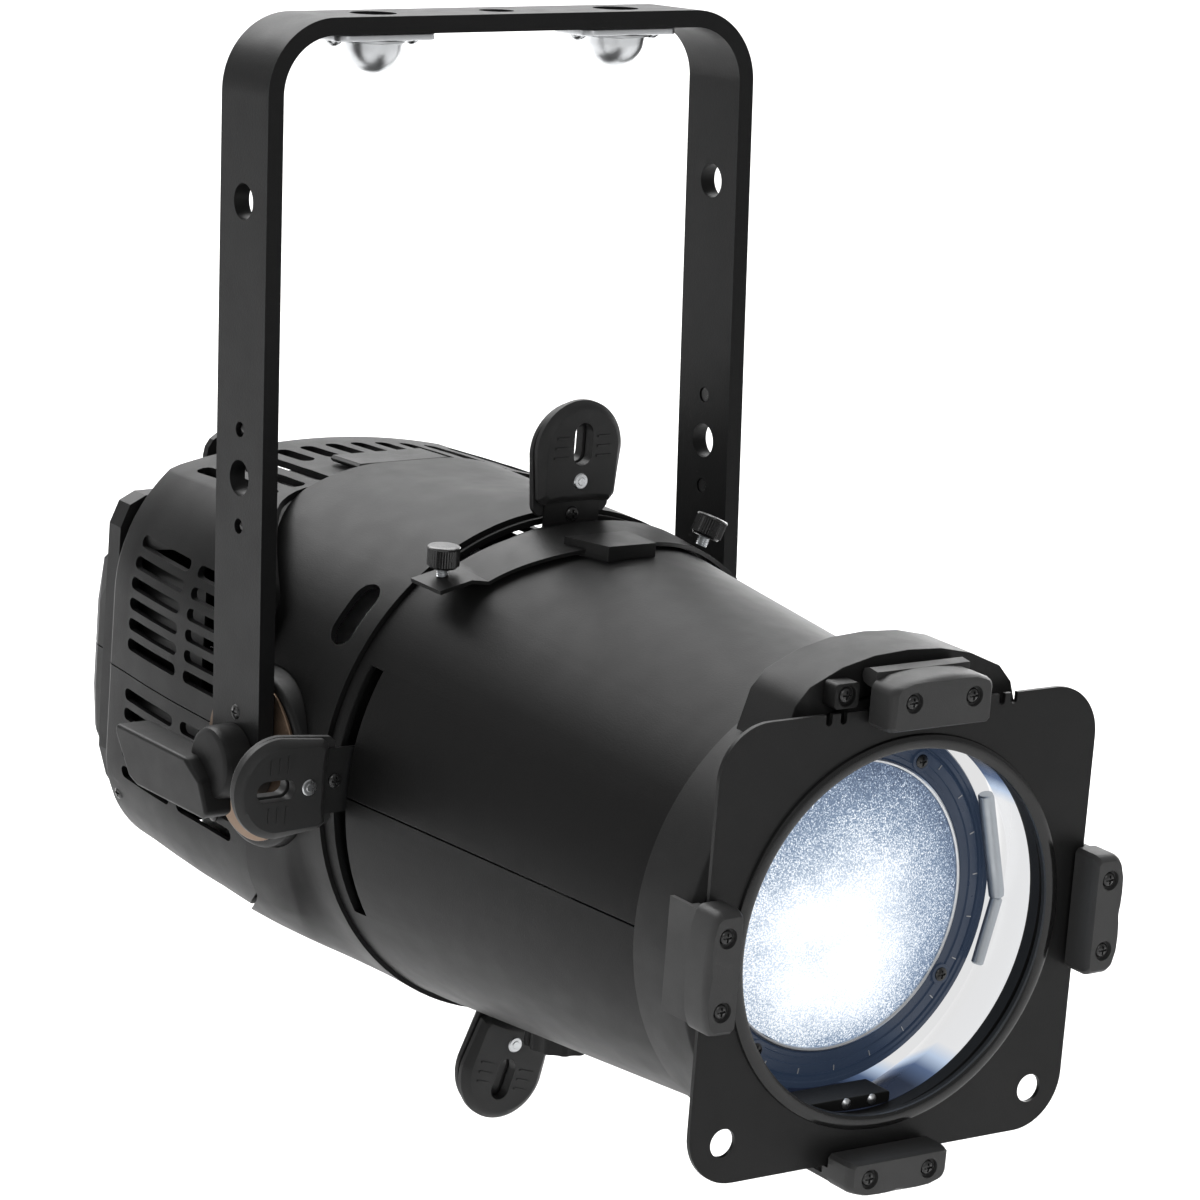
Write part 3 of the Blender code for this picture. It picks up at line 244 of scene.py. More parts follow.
def lit_wall_material():
    """Inside wall of the lens tube, with light painted on its right as a glow from dark blue to
    white.
    """
    material, tree, shader = node_material("lit_wall", (0.05, 0.06, 0.08), 0.25)
    away = vector_math(tree, "SUBTRACT", object_coords(tree), LAMP @ Vector((0.0, 30.0, 0.0)))
    side = vector_math(tree, "DOT_PRODUCT", away.outputs["Vector"], (0.985, 0.0, -0.17))
    share = map_range(tree, side.outputs["Value"], 0.0, 1.0, 0.034, 0.050)
    colour = ramp(tree, share, ((0.0, (0.01, 0.014, 0.03)), (0.45, (0.10, 0.15, 0.27)),
                                (0.75, (0.62, 0.75, 0.95)), (1.0, (1.0, 1.0, 1.0))))
    tree.links.new(colour, shader.inputs["Emission Color"])
    shader.inputs["Emission Strength"].default_value = 0.75
    bump(tree, shader, noise(tree, 500.0), 0.1, 0.0003)
    return material


MATERIALS = {
    "paint": mottled("black_powder_coat", grey(0.0060), grey(0.0078), 0.42, 0.47, 1500.0, 0.00014,
                     0.35, specular=0.15),
    "yoke_paint": mottled("yoke_powder_coat", grey(0.0065, 0.02), grey(0.0085, 0.02), 0.38, 0.44,
                          1300.0, 0.00016, 0.35, specular=0.2),
    "plastic": mottled("black_moulding", grey(0.009), grey(0.012), 0.44, 0.52, 2200.0, 0.00012,
                       0.4, specular=0.25),
    "grip": mottled("grip_moulding", grey(0.021), grey(0.027), 0.44, 0.56, 2300.0, 0.00012, 0.4),
    "grey_plastic": mottled("grey_moulding", grey(0.040), grey(0.050), 0.46, 0.58, 2200.0,
                            0.00012, 0.4),
    "sheet": mottled("black_sheet_steel", grey(0.0085), grey(0.0120), 0.36, 0.44, 1700.0, 0.0001,
                     0.3, specular=0.2),
    "glossy": mottled("glossy_black_ring", grey(0.006), grey(0.009), 0.14, 0.24, 1500.0, 0.00005,
                      0.2, specular=0.5),
    "blade": mottled("blade_steel", grey(0.012), grey(0.018), 0.30, 0.42, 700.0, 0.0001, 0.3),
    "screw": mottled("black_oxide_screw", grey(0.010), grey(0.020), 0.20, 0.34, 900.0, 0.0001,
                     0.3, specular=0.6),
    "rubber": mottled("keycap_rubber", grey(0.010), grey(0.015), 0.62, 0.78, 1800.0, 0.0002, 0.5),
    "zinc": plated("bright_zinc", 0.76, 0.33, 45.0, 0.02),
    "rod": plated("guide_rod_steel", 0.55, 0.40, 12.0, 0.06),
    "steel": plated("plated_steel", 0.62, 0.28, 80.0, 0.02),
    "aluminium": plated("extruded_aluminium", 0.66, 0.36, 90.0, 0.01),
    "bronze": mottled("sintered_bronze", (0.13, 0.085, 0.055), (0.20, 0.14, 0.10), 0.3, 0.42,
                      1500.0, 0.0001, 0.3, metallic=1.0),
    "board": mottled("circuit_board", (0.012, 0.07, 0.03), (0.02, 0.11, 0.05), 0.3, 0.5, 700.0,
                     0.0002, 0.4),
    "display": mottled("display_window", grey(0.006, 0.3), grey(0.010, 0.3), 0.06, 0.12, 300.0,
                       0.00002, 0.1, specular=0.5),
    "lens_ring": mottled("lens_ring_moulding", (0.016, 0.021, 0.034), (0.030, 0.040, 0.062),
                         0.26, 0.38, 1800.0, 0.0001, 0.4, specular=0.5),
    "mark": mottled("pale_mark", grey(0.45), grey(0.55), 0.5, 0.6, 900.0, 0.0001, 0.2),
    "glass": mottled("condenser_glass", grey(0.20), grey(0.26), 0.05, 0.10, 300.0, 0.00002, 0.1,
                     specular=0.5),
    "lens": lens_material(),
    "lit_wall": lit_wall_material(),
}
# Faint painted bluish glow on the lens ring moulding, which also covers the tube flange and ring
# bosses.
lit_ring = MATERIALS["lens_ring"].node_tree.nodes["Principled BSDF"]
lit_ring.inputs["Emission Color"].default_value = (0.30, 0.48, 0.86, 1.0)
lit_ring.inputs["Emission Strength"].default_value = 0.045


# ------------------------------------------------------------------ mesh tools (millimetres)

def make_object(name, bm):
    """Put a bmesh into a new object with its normals facing out."""
    bmesh.ops.remove_doubles(bm, verts=bm.verts[:], dist=0.0005)
    bmesh.ops.recalc_face_normals(bm, faces=bm.faces[:])
    mesh = bpy.data.meshes.new(name)
    bm.to_mesh(mesh)
    bm.free()
    item = bpy.data.objects.new(name, mesh)
    bpy.context.scene.collection.objects.link(item)
    return item


def bake(item):
    """Apply an object's modifiers."""
    bpy.context.view_layer.update()
    evaluated = item.evaluated_get(bpy.context.evaluated_depsgraph_get())
    mesh = bpy.data.meshes.new_from_object(evaluated)
    old = item.data
    item.modifiers.clear()
    item.data = mesh
    bpy.data.meshes.remove(old)
    return item


def combine(item, tool, operation="DIFFERENCE"):
    """Cut or join with a tool object, which is used up."""
    modifier = item.modifiers.new("combine", "BOOLEAN")
    modifier.operation = operation
    modifier.solver = "EXACT"
    modifier.object = tool
    bake(item)
    mesh = tool.data
    bpy.data.objects.remove(tool)
    bpy.data.meshes.remove(mesh)
    return item


def soften(item, width, segments=2, angle=35.0):
    """Round the sharp edges."""
    bevel = item.modifiers.new("soften", "BEVEL")
    bevel.width = width
    bevel.segments = segments
    bevel.limit_method = "ANGLE"
    bevel.angle_limit = math.radians(angle)
    bevel.use_clamp_overlap = True
    return bake(item)


def settle(item, matrix, body, material, replaces=(), smooth=40.0):
    """Move a finished piece into the model's frame and hang it on its body."""
    item.data.transform(matrix)
    item.data.materials.clear()
    item.data.materials.append(MATERIALS[material])
    item.data.shade_smooth()
    item.data.set_sharp_from_angle(angle=math.radians(smooth))
    weighted = item.modifiers.new("normals", "WEIGHTED_NORMAL")
    weighted.keep_sharp = True
    weighted.weight = 60
    bake(item)
    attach(item, body)
    if replaces:
        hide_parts(*replaces)
    return item


def arc(cx, cy, radius, start, end, count):
    """Points of an arc, angles in degrees."""
    return [(cx + radius * math.cos(math.radians(start + (end - start) * i / count)),
             cy + radius * math.sin(math.radians(start + (end - start) * i / count)))
            for i in range(count + 1)]


def circle(cx, cy, radius, count=48):
    """Points round a circle."""
    return arc(cx, cy, radius, 0.0, 360.0, count)[:-1]


def rectangle(half_x, half_y):
    """Corners of a rectangle about the origin."""
    return [(-half_x, -half_y), (half_x, -half_y), (half_x, half_y), (-half_x, half_y)]


def knurled(count, odd, even, run=1):
    """Outline whose radius changes between two values every few points."""
    points = []
    for i in range(count):
        radius = odd if (i // run) % 2 else even
        angle = 2 * math.pi * i / count
        points.append((radius * math.cos(angle), radius * math.sin(angle)))
    return points


def rounded(x0, y0, x1, y1, radius, count=8):
    """Outline of a rounded rectangle."""
    points = arc(x1 - radius, y1 - radius, radius, 0, 90, count)
    points += arc(x0 + radius, y1 - radius, radius, 90, 180, count)
    points += arc(x0 + radius, y0 + radius, radius, 180, 270, count)
    return points + arc(x1 - radius, y0 + radius, radius, 270, 360, count)


def prism_into(bm, outline, low, high, matrix):
    """Add a prism between two heights of the matrix's Z."""
    lower = [bm.verts.new(matrix @ Vector((x, y, low))) for x, y in outline]
    upper = [bm.verts.new(matrix @ Vector((x, y, high))) for x, y in outline]
    bm.faces.new(lower[::-1])
    bm.faces.new(upper)
    for i in range(len(outline)):
        j = (i + 1) % len(outline)
        bm.faces.new((lower[i], lower[j], upper[j], upper[i]))


def prism(name, outline, low, high, matrix=Matrix.Identity(4)):
    """A prism object."""
    bm = bmesh.new()
    prism_into(bm, outline, low, high, matrix)
    return make_object(name, bm)


def prisms(name, items):
    """One object of several prisms: (outline, low, high, matrix)."""
    bm = bmesh.new()
    for outline, low, high, matrix in items:
        prism_into(bm, outline, low, high, matrix)
    return make_object(name, bm)


def revolve_into(bm, profile, matrix, steps=96, closed=False):
    """Add a turned body: (radius, height) points about the matrix's Z."""
    rings = []
    for radius, height in profile:
        if radius < 1e-6:
            rings.append([bm.verts.new(matrix @ Vector((0.0, 0.0, height)))])
            continue
        ring = []
        for i in range(steps):
            angle = 2 * math.pi * i / steps
            point = Vector((radius * math.cos(angle), radius * math.sin(angle), height))
            ring.append(bm.verts.new(matrix @ point))
        rings.append(ring)
    pairs = list(zip(rings, rings[1:]))
    if closed:
        pairs.append((rings[-1], rings[0]))
    for a, b in pairs:
        for i in range(steps):
            j = (i + 1) % steps
            corners = [a[i % len(a)], a[j % len(a)], b[j % len(b)], b[i % len(b)]]
            unique = list(dict.fromkeys(corners))
            if len(unique) > 2:
                bm.faces.new(unique)


def revolve(name, profile, matrix=Matrix.Identity(4), steps=96, closed=False):
    """A turned object."""
    bm = bmesh.new()
    revolve_into(bm, profile, matrix, steps, closed)
    return make_object(name, bm)


def slot_outline(length, width, count=8):
    """Round-ended slot along X."""
    radius = width / 2
    return (arc(length / 2 - radius, 0, radius, -90, 90, count)
            + arc(-length / 2 + radius, 0, radius, 90, 270, count))


def cross_screw(name, place, radius, height, body, frame_matrix=LAMP):
    """Pan-head screw with a cross recess; its head stands on the place's Z."""
    profile = [(0.0, height)]
    profile += [(radius * math.sin(a), height * (0.25 + 0.75 * math.cos(a)))
                for a in (math.radians(d) for d in (18, 36, 54, 72, 90))]
    profile += [(radius, -0.4), (0.0, -0.4)]
    head = revolve(name, profile, place, 32)
    arm, thin = radius * 0.62, radius * 0.15
    for half_x, half_y in ((arm, thin), (thin, arm)):
        combine(head, prism("bar", rectangle(half_x, half_y), height * 0.35, height + 2, place))
    return settle(head, frame_matrix, body, "screw")


# ------------------------------------------------------------------ yoke

def yoke_outline():
    """Bent flat bar seen along Y."""
    inner, thick, bend, end = YOKE_INNER_X, YOKE_THICK, 21.0, PIVOT_Z - YOKE_HALF_WIDTH
    cx, cz = inner - bend, -thick - bend
    points = [(inner + thick, end)] + arc(cx, cz, bend + thick, 0, 90, 28)
    points += arc(-cx, cz, bend + thick, 90, 180, 28) + [(-inner - thick, end), (-inner, end)]
    points += arc(-cx, cz, bend, 180, 90, 28) + arc(cx, cz, bend, 90, 0, 28) + [(inner, end)]
    return points


def build_yoke():
    """The bar with its holes and round ends."""
    bar = prism("yoke_bar_fine", yoke_outline(), -YOKE_HALF_WIDTH, YOKE_HALF_WIDTH, FACING)
    notch = [(-18.0, -18.0), (18.0, -18.0), (18.0, 0.0)] + arc(0, 0, 15.88, 0, -180, 32)
    notch += [(-18.0, 0.0)]
    ends = prism("ends", notch, -120.0, 120.0, at(0, 0, PIVOT_Z, turn("Z", 90), FACING))
    combine(bar, ends)
    holes = []
    for z, radius in ((-65.5, 6.5), (-147.0, 2.8), (-164.5, 6.5), (-182.0, 2.8), (-250.0, 2.3),
                      (PIVOT_Z, 5.3)):
        holes.append((circle(0, 0, radius, 40), -120.0, 120.0, at(0, 0, z, ACROSS)))
    for x, radius in ((-RECEPTACLE_X, 8.5), (0.0, 6.5), (RECEPTACLE_X, 8.5)):
        holes.append((circle(0, 0, radius, 48), -12.0, 4.0, at(x, 0, 0)))
    combine(bar, prisms("holes", holes))
    soften(bar, 0.9, 3)
    settle(bar, YOKE, "yoke", "yoke_paint", ["yoke_bar"])
    for side, suffix in SIDES:
        for i, z in enumerate((-147.0, -182.0)):
            dome = revolve("arm_insert_%s_%d" % (suffix, i + 1),
                           [(0.0, 1.4), (1.2, 1.2), (2.1, 0.6), (2.5, -0.2), (2.5, -3.6),
                            (0.0, -3.6)], at(side * 103.6, 0, z, turn("Y", side * 90.0)), 28)
            settle(dome, YOKE, "yoke", "screw")
        cross_screw("stop_screw_" + suffix, at(side * 105.3, 0, -250.0, turn("Y", side * 90.0)),
                    2.9, 1.3, "yoke", frame_matrix=YOKE)


def build_receptacles():
    """Plated clamp receptacles: riveted plate and round dome."""
    for side, suffix in SIDES:
        x = side * RECEPTACLE_X
        plate = prism("receptacle_plate_" + suffix, rounded(-21, -12, 21, 12, 5.0), -9.2, -6.75,
                      at(x, 0, 0))
        combine(plate, prism("hole", circle(0, 0, 8.0), -12.0, -4.0, at(x, 0, 0)))
        soften(plate, 0.5, 2)
        settle(plate, YOKE, "yoke", "zinc", ["clamp_receptacle_" + suffix])
        profile = [(12.4, -9.3), (12.4, -10.1), (11.0, -10.4)]
        profile += [(10.8 * math.cos(math.radians(a)), -11.0 - 10.6 * math.sin(math.radians(a)))
                    for a in range(4, 90, 6)] + [(0.0, -21.6), (0.0, -20.4)]
        profile += [(9.6 * math.cos(math.radians(a)), -11.0 - 9.4 * math.sin(math.radians(a)))
                    for a in range(88, 0, -8)] + [(9.6, -9.3)]
        dome = revolve("receptacle_dome_" + suffix, profile, at(x, 0, 0), 64, closed=True)
        settle(dome, YOKE, "yoke", "zinc")
        for i, dx in enumerate((-16.5, 16.5)):
            head = [(0.0, -11.6), (1.6, -11.2), (2.8, -10.2), (3.1, -9.2), (3.1, -6.8), (0.0, -6.8)]
            rivet = revolve("receptacle_rivet_%s_%d" % (suffix, i + 1), head, at(x + dx, 0, 0), 28)
            settle(rivet, YOKE, "yoke", "steel")
            top = [(0.0, 0.9), (2.2, 0.6), (3.4, 0.02), (0.0, 0.02)]
            rivet = revolve("receptacle_rivet_top_%s_%d" % (suffix, i + 1), top,
                            at(x + dx, 0, -0.9), 28)
            settle(rivet, YOKE, "yoke", "steel")


def build_pivots():
    """Hubs, bronze discs, bolts and the right-hand lock nut."""
    for side, suffix in SIDES:
        outward = turn("Y", side * 90.0)
        profile = [(12.0, 97.9), (31.2, 97.9), (32.4, 97.3), (33.0, 96.0), (33.0, 78.0), (12.0, 78.0)]
        hub = revolve("hub_fine_" + suffix, profile, at(0, PIVOT_S, 0, outward), 96, closed=True)
        settle(hub, LAMP, "fixture", "plastic", ["pivot_hub_" + suffix])
        ring = [(6.0, 98.0), (29.8, 98.0), (30.2, 98.3), (30.2, 99.0), (29.8, 99.3), (6.0, 99.3)]
        disc = revolve("disc_fine_" + suffix, ring, at(0, 0, PIVOT_Z, outward), 96, closed=True)
        settle(disc, YOKE, "yoke", "bronze", ["friction_disc_" + suffix])
    for side, suffix, end in ((-1, "left", 114.0), (1, "right", 116.0)):
        outward = turn("Y", side * 90.0)
        profile = [(0.0, end), (3.6, end)]
        z = end - 0.4
        while z > 107.0:
            profile += [(4.6, z), (4.9, z - 0.35), (4.4, z - 0.8)]
            z -= 1.15
        profile += [(4.9, 106.5), (4.9, 84.0), (0.0, 84.0)]
        bolt = revolve("bolt_fine_" + suffix, profile, at(0, 0, PIVOT_Z, outward), 40)
        settle(bolt, YOKE, "yoke", "steel", ["pivot_bolt_" + suffix])
    nut = prism("lock_nut_fine", circle(0, 0, 9.7, 6), 107.8, 115.0,
                at(0, 0, PIVOT_Z, ACROSS))
    combine(nut, prism("bore", circle(0, 0, 5.0), 100.0, 120.0, at(0, 0, PIVOT_Z, ACROSS)))
    soften(nut, 0.7, 2)
    settle(nut, YOKE, "yoke", "steel", ["lock_nut"])
    washer = revolve("nut_washer", [(5.2, 107.7), (12.6, 107.7), (13.0, 107.3), (13.0, 106.2),
                                    (5.2, 106.2)], at(0, 0, PIVOT_Z, ACROSS), 64,
                     closed=True)
    settle(washer, YOKE, "yoke", "screw")


def build_lever():
    """Wedge-shaped clamping lever on its hub."""
    outer = ((6.0, 1.5), (54.5, 5.0), (56.0, 2.0), (50.0, -14.5), (45.0, -17.0), (-1.0, -20.3),
             (-5.0, -18.0), (-3.0, -6.0))
    bm = bmesh.new()
    near, far = [], []
    for y, z in outer:
        near.append(bm.verts.new((-109.3, y, PIVOT_Z + z)))
        far.append(bm.verts.new((-124.0 + (3.0 - z) * 0.16, y, PIVOT_Z + z)))
    bm.faces.new(near)
    bm.faces.new(far[::-1])
    for i in range(len(outer)):
        j = (i + 1) % len(outer)
        bm.faces.new((near[i], near[j], far[j], far[i]))
    handle = make_object("tilt_lever_fine", bm)
    soften(handle, 1.6, 3, 25.0)
    hub = revolve("lever_hub", [(0.0, 117.6), (10.8, 117.6), (12.6, 116.6), (13.4, 114.5),
                                (13.5, 106.3), (0.0, 106.3)],
                  at(0, 0, PIVOT_Z, turn("Y", -90.0)), 72)
    combine(handle, hub, "UNION")
    settle(handle, YOKE, "lever", "plastic", ["tilt_lever"])


# ------------------------------------------------------------------ lamp body

def boundary(theta, size):
    """Point where a ray from the axis meets a rounded rectangle with an arched top."""
    half_width, top, bottom, top_radius, bottom_radius, arch = size
    c, s = math.cos(theta), math.sin(theta)
    height, radius = (top, top_radius) if s >= 0 else (bottom, bottom_radius)
    reach = min(half_width / max(abs(c), 1e-9), height / max(abs(s), 1e-9))
    x, z = reach * abs(c), reach * abs(s)
    corner_x, corner_z = half_width - radius, height - radius
    if x > corner_x and z > corner_z:
        along = abs(c) * corner_x + abs(s) * corner_z
        rest = corner_x ** 2 + corner_z ** 2 - radius ** 2
        reach = along + math.sqrt(max(along ** 2 - rest, 0.0))
    if s > 0 and arch < NO_ARCH:
        rise = s * (arch - ARCH_R)
        reach = min(reach, rise + math.sqrt(rise ** 2 + ARCH_R ** 2 - (arch - ARCH_R) ** 2))
    return math.copysign(reach * abs(c), c), math.copysign(reach * abs(s), s)


def fine_angles(upper, size, seam=0.25):
    """Directions over one half, dense at the corners."""
    edge = math.asin(seam / size[0])
    quarter = [math.radians(a) for a in
               list(range(3, 33, 3)) + [34, 36, 37.5] + [39 + i for i in range(12)]
               + [52.5, 54, 56, 58.5, 61] + list(range(64, 90, 3))]
    angles = [edge] + quarter + [math.pi / 2]
    angles += [math.pi - a for a in reversed(quarter)] + [math.pi - edge]
    return angles if upper else [-a for a in angles]


def bow(x):
    """Forward run of the join of cowl and housing."""
    return 46.0 * min(max(abs(x) - 45.0, 0.0) / 40.0, 1.0) ** 2


def half_ring(row, upper):
    """Points of one half section: (station, share of bow, size)."""
    station, share, size = row
    points = []
    for theta in fine_angles(upper, size):
        x, z = boundary(theta, size)
        points.append((x, station - share * bow(x), z))
    return points


def smooth_rows(rows, per_span):
    """More rows on a smooth curve through the given ones."""
    keys = [np.array((r[0], r[1], *r[2])) for r in rows]
    result = []
    for i in range(len(keys) - 1):
        p0, p1, p2 = keys[max(i - 1, 0)], keys[i], keys[i + 1]
        p3 = keys[min(i + 2, len(keys) - 1)]
        for j in range(per_span):
            u = j / per_span
            v = 0.5 * (2 * p1 + (p2 - p0) * u + (2 * p0 - 5 * p1 + 4 * p2 - p3) * u ** 2
                       + (3 * p1 - p0 - 3 * p2 + p3) * u ** 3)
            v[0] = p1[0] + (p2[0] - p1[0]) * u
            result.append((float(v[0]), float(v[1]), tuple(float(k) for k in v[2:])))
    last = keys[-1]
    result.append((float(last[0]), float(last[1]), tuple(float(k) for k in last[2:])))
    return result


def shell(name, rows, upper, wall=2.6):
    """Half of a casing with a wall."""
    bm = bmesh.new()
    grid = [[bm.verts.new(p) for p in half_ring(row, upper)] for row in rows]
    for low, high in zip(grid, grid[1:]):
        for i in range(len(low) - 1):
            bm.faces.new((low[i], low[i + 1], high[i + 1], high[i]))
    item = make_object(name, bm)
    biggest = max(item.data.polygons, key=lambda f: abs(f.center.z))
    if biggest.normal.z * biggest.center.z < 0:
        item.data.flip_normals()
    solid = item.modifiers.new("wall", "SOLIDIFY")
    solid.thickness = wall
    solid.offset = -1.0
    solid.use_even_offset = True
    return bake(item)


def round_size(radius):
    """Round section."""
    return (radius,) * 5 + (NO_ARCH,)


def blend_sizes(first, second, share):
    """Size between two sizes."""
    return tuple(a + (b - a) * share for a, b in zip(first, second))


def cowl_rows():
    """Round in front, nearly square at the back."""
    front, rear = round_size(95.4), (92.0, 90.6, 80.2, 80.0, 46.0, NO_ARCH)
    shares = ((209.4, 0.0, 0.0), (226.0, 0.1, 0.03), (244.0, 0.35, 0.3), (262.0, 0.6, 0.7),
              (285.0, 0.82, 0.94), (308.0, 1.0, 1.0))
    return smooth_rows([(s, b, blend_sizes(front, rear, m)) for s, b, m in shares], 5)


def housing_rows():
    """Rear housing with a sloping top and a turned-in rear edge."""
    return (smooth_rows([(308.8, 1.0, (90.6, 90.0, 78.2, 60.0, 44.0, 86.8)),
                         (320.0, 0.5, (89.4, 90.0, 78.2, 60.0, 44.0, 86.2)),
                         (334.0, 0.0, (88.2, 90.0, 78.2, 60.0, 44.0, 85.5)),
                         (378.0, 0.0, (84.6, 89.6, 77.0, 60.0, 42.0, 83.2))], 4)
            + [(380.0, 0.0, (83.8, 88.0, 76.2, 59.0, 41.6, 82.0)),
               (384.0, 0.0, (80.8, 84.0, 73.0, 56.0, 40.0, 76.0))])


def side_vents(rows):
    """Vent cutters of both sides."""
    items = []
    matrix = turn("Y", 90.0) @ turn("Z", 90.0)
    for z in rows:
        reach = math.sqrt(max(37.5 ** 2 - z ** 2, 0.0))
        for start, end in ((324.0, 365.0), (max(276.0, PIVOT_S + reach), 318.0)):
            for side in (-1, 1):
                items.append((slot_outline(end - start, 4.7, 5), -8.0, 8.0,
                              at(side * 88.0, (start + end) / 2, z) @ matrix))
    return items


def top_vents():
    """Vent cutters of the arched top, short in the middle behind the badge."""
    items = []
    for i in range(TOP_VENTS):
        x = (i - TOP_VENTS // 2) * TOP_VENT_PITCH
        start, end = (342.0 if abs(x) < 24.5 else 312.0), 366.0
        items.append((slot_outline(end - start, 6.2, 5), -12.0, 12.0,
                      at(x, (start + end) / 2, 80.0, turn("Z", 90.0))))
    return items


def hub_cutter():
    """Cylinder that clears the pivot hubs on both sides."""
    return prism("hub", circle(0, 0, HUB_HOLE_R, 96), -130, 130, at(0, PIVOT_S, 0, ACROSS))


def build_casing():
    """Cowl and housing, each in two halves."""
    for upper, suffix in ((True, "upper"), (False, "lower")):
        cowl = shell("cowl_fine_" + suffix, cowl_rows(), upper)
        combine(cowl, hub_cutter())
        if upper:
            ovals = []
            for angle in (38.0, 142.0):
                a = math.radians(angle)
                ovals.append((slot_outline(26.0, 13.0, 14), -10.0, 10.0,
                              at(95 * math.cos(a), 225.0, 95 * math.sin(a),
                                 turn("Y", 90.0 - angle))))
            combine(cowl, prisms("ovals", ovals))
        soften(cowl, 0.7, 2, 40.0)
        settle(cowl, LAMP, "fixture", "paint", ["cowl_" + suffix])
        housing = shell("housing_fine_" + suffix, housing_rows(), upper)
        rows = (12.0, 20.0, 28.0, 36.0, 44.0, 52.0) if upper else (-7.8, -15.5, -23.2, -30.9,
                                                                 -38.6)
        combine(housing, prisms("vents", side_vents(rows)))
        if upper:
            combine(housing, prisms("top_vents", top_vents()))
        combine(housing, hub_cutter())
        soften(housing, 0.6, 2, 38.0)
        settle(housing, LAMP, "fixture", "paint", ["housing_" + suffix])


def barrel_radius(station):
    """Outer radius of the barrel."""
    return 76.4 + 0.083 * station


def bent_block(bm, low, high, middle, half_angle, inner=80.0, outer=104.0, steps=40):
    """Add a block bent round the beam axis."""
    rows = []
    for i in range(steps + 1):
        angle = math.radians(middle - half_angle + 2 * half_angle * i / steps)
        ring = [bm.verts.new((r * math.cos(angle), s, r * math.sin(angle)))
                for r, s in ((inner, low), (outer, low), (outer, high), (inner, high))]
        rows.append(ring)
    for a, b in zip(rows, rows[1:]):
        for k in range(4):
            bm.faces.new((a[k], a[(k + 1) % 4], b[(k + 1) % 4], b[k]))
    bm.faces.new(rows[0])
    bm.faces.new(rows[-1][::-1])


def build_barrel():
    """Tapering barrel in two halves with shutter windows and the focus slot."""
    for upper, suffix in ((True, "upper"), (False, "lower")):
        rows = [(s, 0.0, round_size(barrel_radius(s))) for s in (34.0, 120.0, 209.0)]
        half = shell("barrel_fine_" + suffix, rows, upper)
        bm = bmesh.new()
        for station, angle, _, _, _ in SHUTTER_FACTS.values():
            low = min(station - 3.5, 201.0)
            bent_block(bm, low, low + 7.0, angle, 29.5)
        combine(half, make_object("windows", bm))
        if not upper:
            combine(half, prism("slot", slot_outline(26.0, 7.0), -10, 10,
                                at(0, 175.0, -90.0, turn("Z", 90.0))))
        soften(half, 0.5, 2, 40.0)
        settle(half, LAMP, "barrel", "paint", ["barrel_" + suffix])


def build_peeps():
    """Bright lamp-house metal seen through the oval holes."""
    for angle, suffix in ((38.0, "right"), (142.0, "left")):
        bm = bmesh.new()
        bent_block(bm, 211.5, 238.5, angle, 12.0, 87.2, 88.2, 24)
        bent_block(bm, 222.0, 226.0, angle, 12.0, 88.2, 90.4, 24)
        patch = soften(make_object("peep_metal_" + suffix, bm), 0.3, 1)
        settle(patch, LAMP, "fixture", "aluminium")


def shutter_place(key):
    """Frame of a shutter: X across, Y outwards from the base of the grip, Z to the front."""
    station, angle, lean, offset, reach = SHUTTER_FACTS[key]
    return at(0.0, station, 0.0, turn("Y", 90.0 - angle), at(offset, 0.0, reach),
              turn("Y", lean), FACING)


def layered(name, outline, levels, matrix):
    """Solid through copies of an outline: levels are (height, inset towards the middle)."""
    bm = bmesh.new()
    count = len(outline)
    cx = sum(p[0] for p in outline) / count
    cy = sum(p[1] for p in outline) / count
    rings = []
    for height, inset in levels:
        ring = []
        for x, y in outline:
            length = math.hypot(x - cx, y - cy)
            share = (length - inset) / length
            ring.append(bm.verts.new(matrix @ Vector((cx + (x - cx) * share,
                                                      cy + (y - cy) * share, height))))
        rings.append(ring)
    bm.faces.new(rings[0][::-1])
    bm.faces.new(rings[-1])
    for a, b in zip(rings, rings[1:]):
        for i in range(count):
            j = (i + 1) % count
            bm.faces.new((a[i], a[j], b[j], b[i]))
    return make_object(name, bm)


def grip_shape(low, high, waist, radius=18.3):
    """D-shaped outline from a base height to a round end."""
    points = [(-waist + 2.0, low), (-waist * 0.5, low + 0.5), (0.0, low + 0.7),
              (waist * 0.5, low + 0.5), (waist - 2.0, low), (waist, low + 2.2)]
    points += arc(0.0, high - radius, radius, 0, 180, 40)
    return points + [(-waist, low + 2.2)]


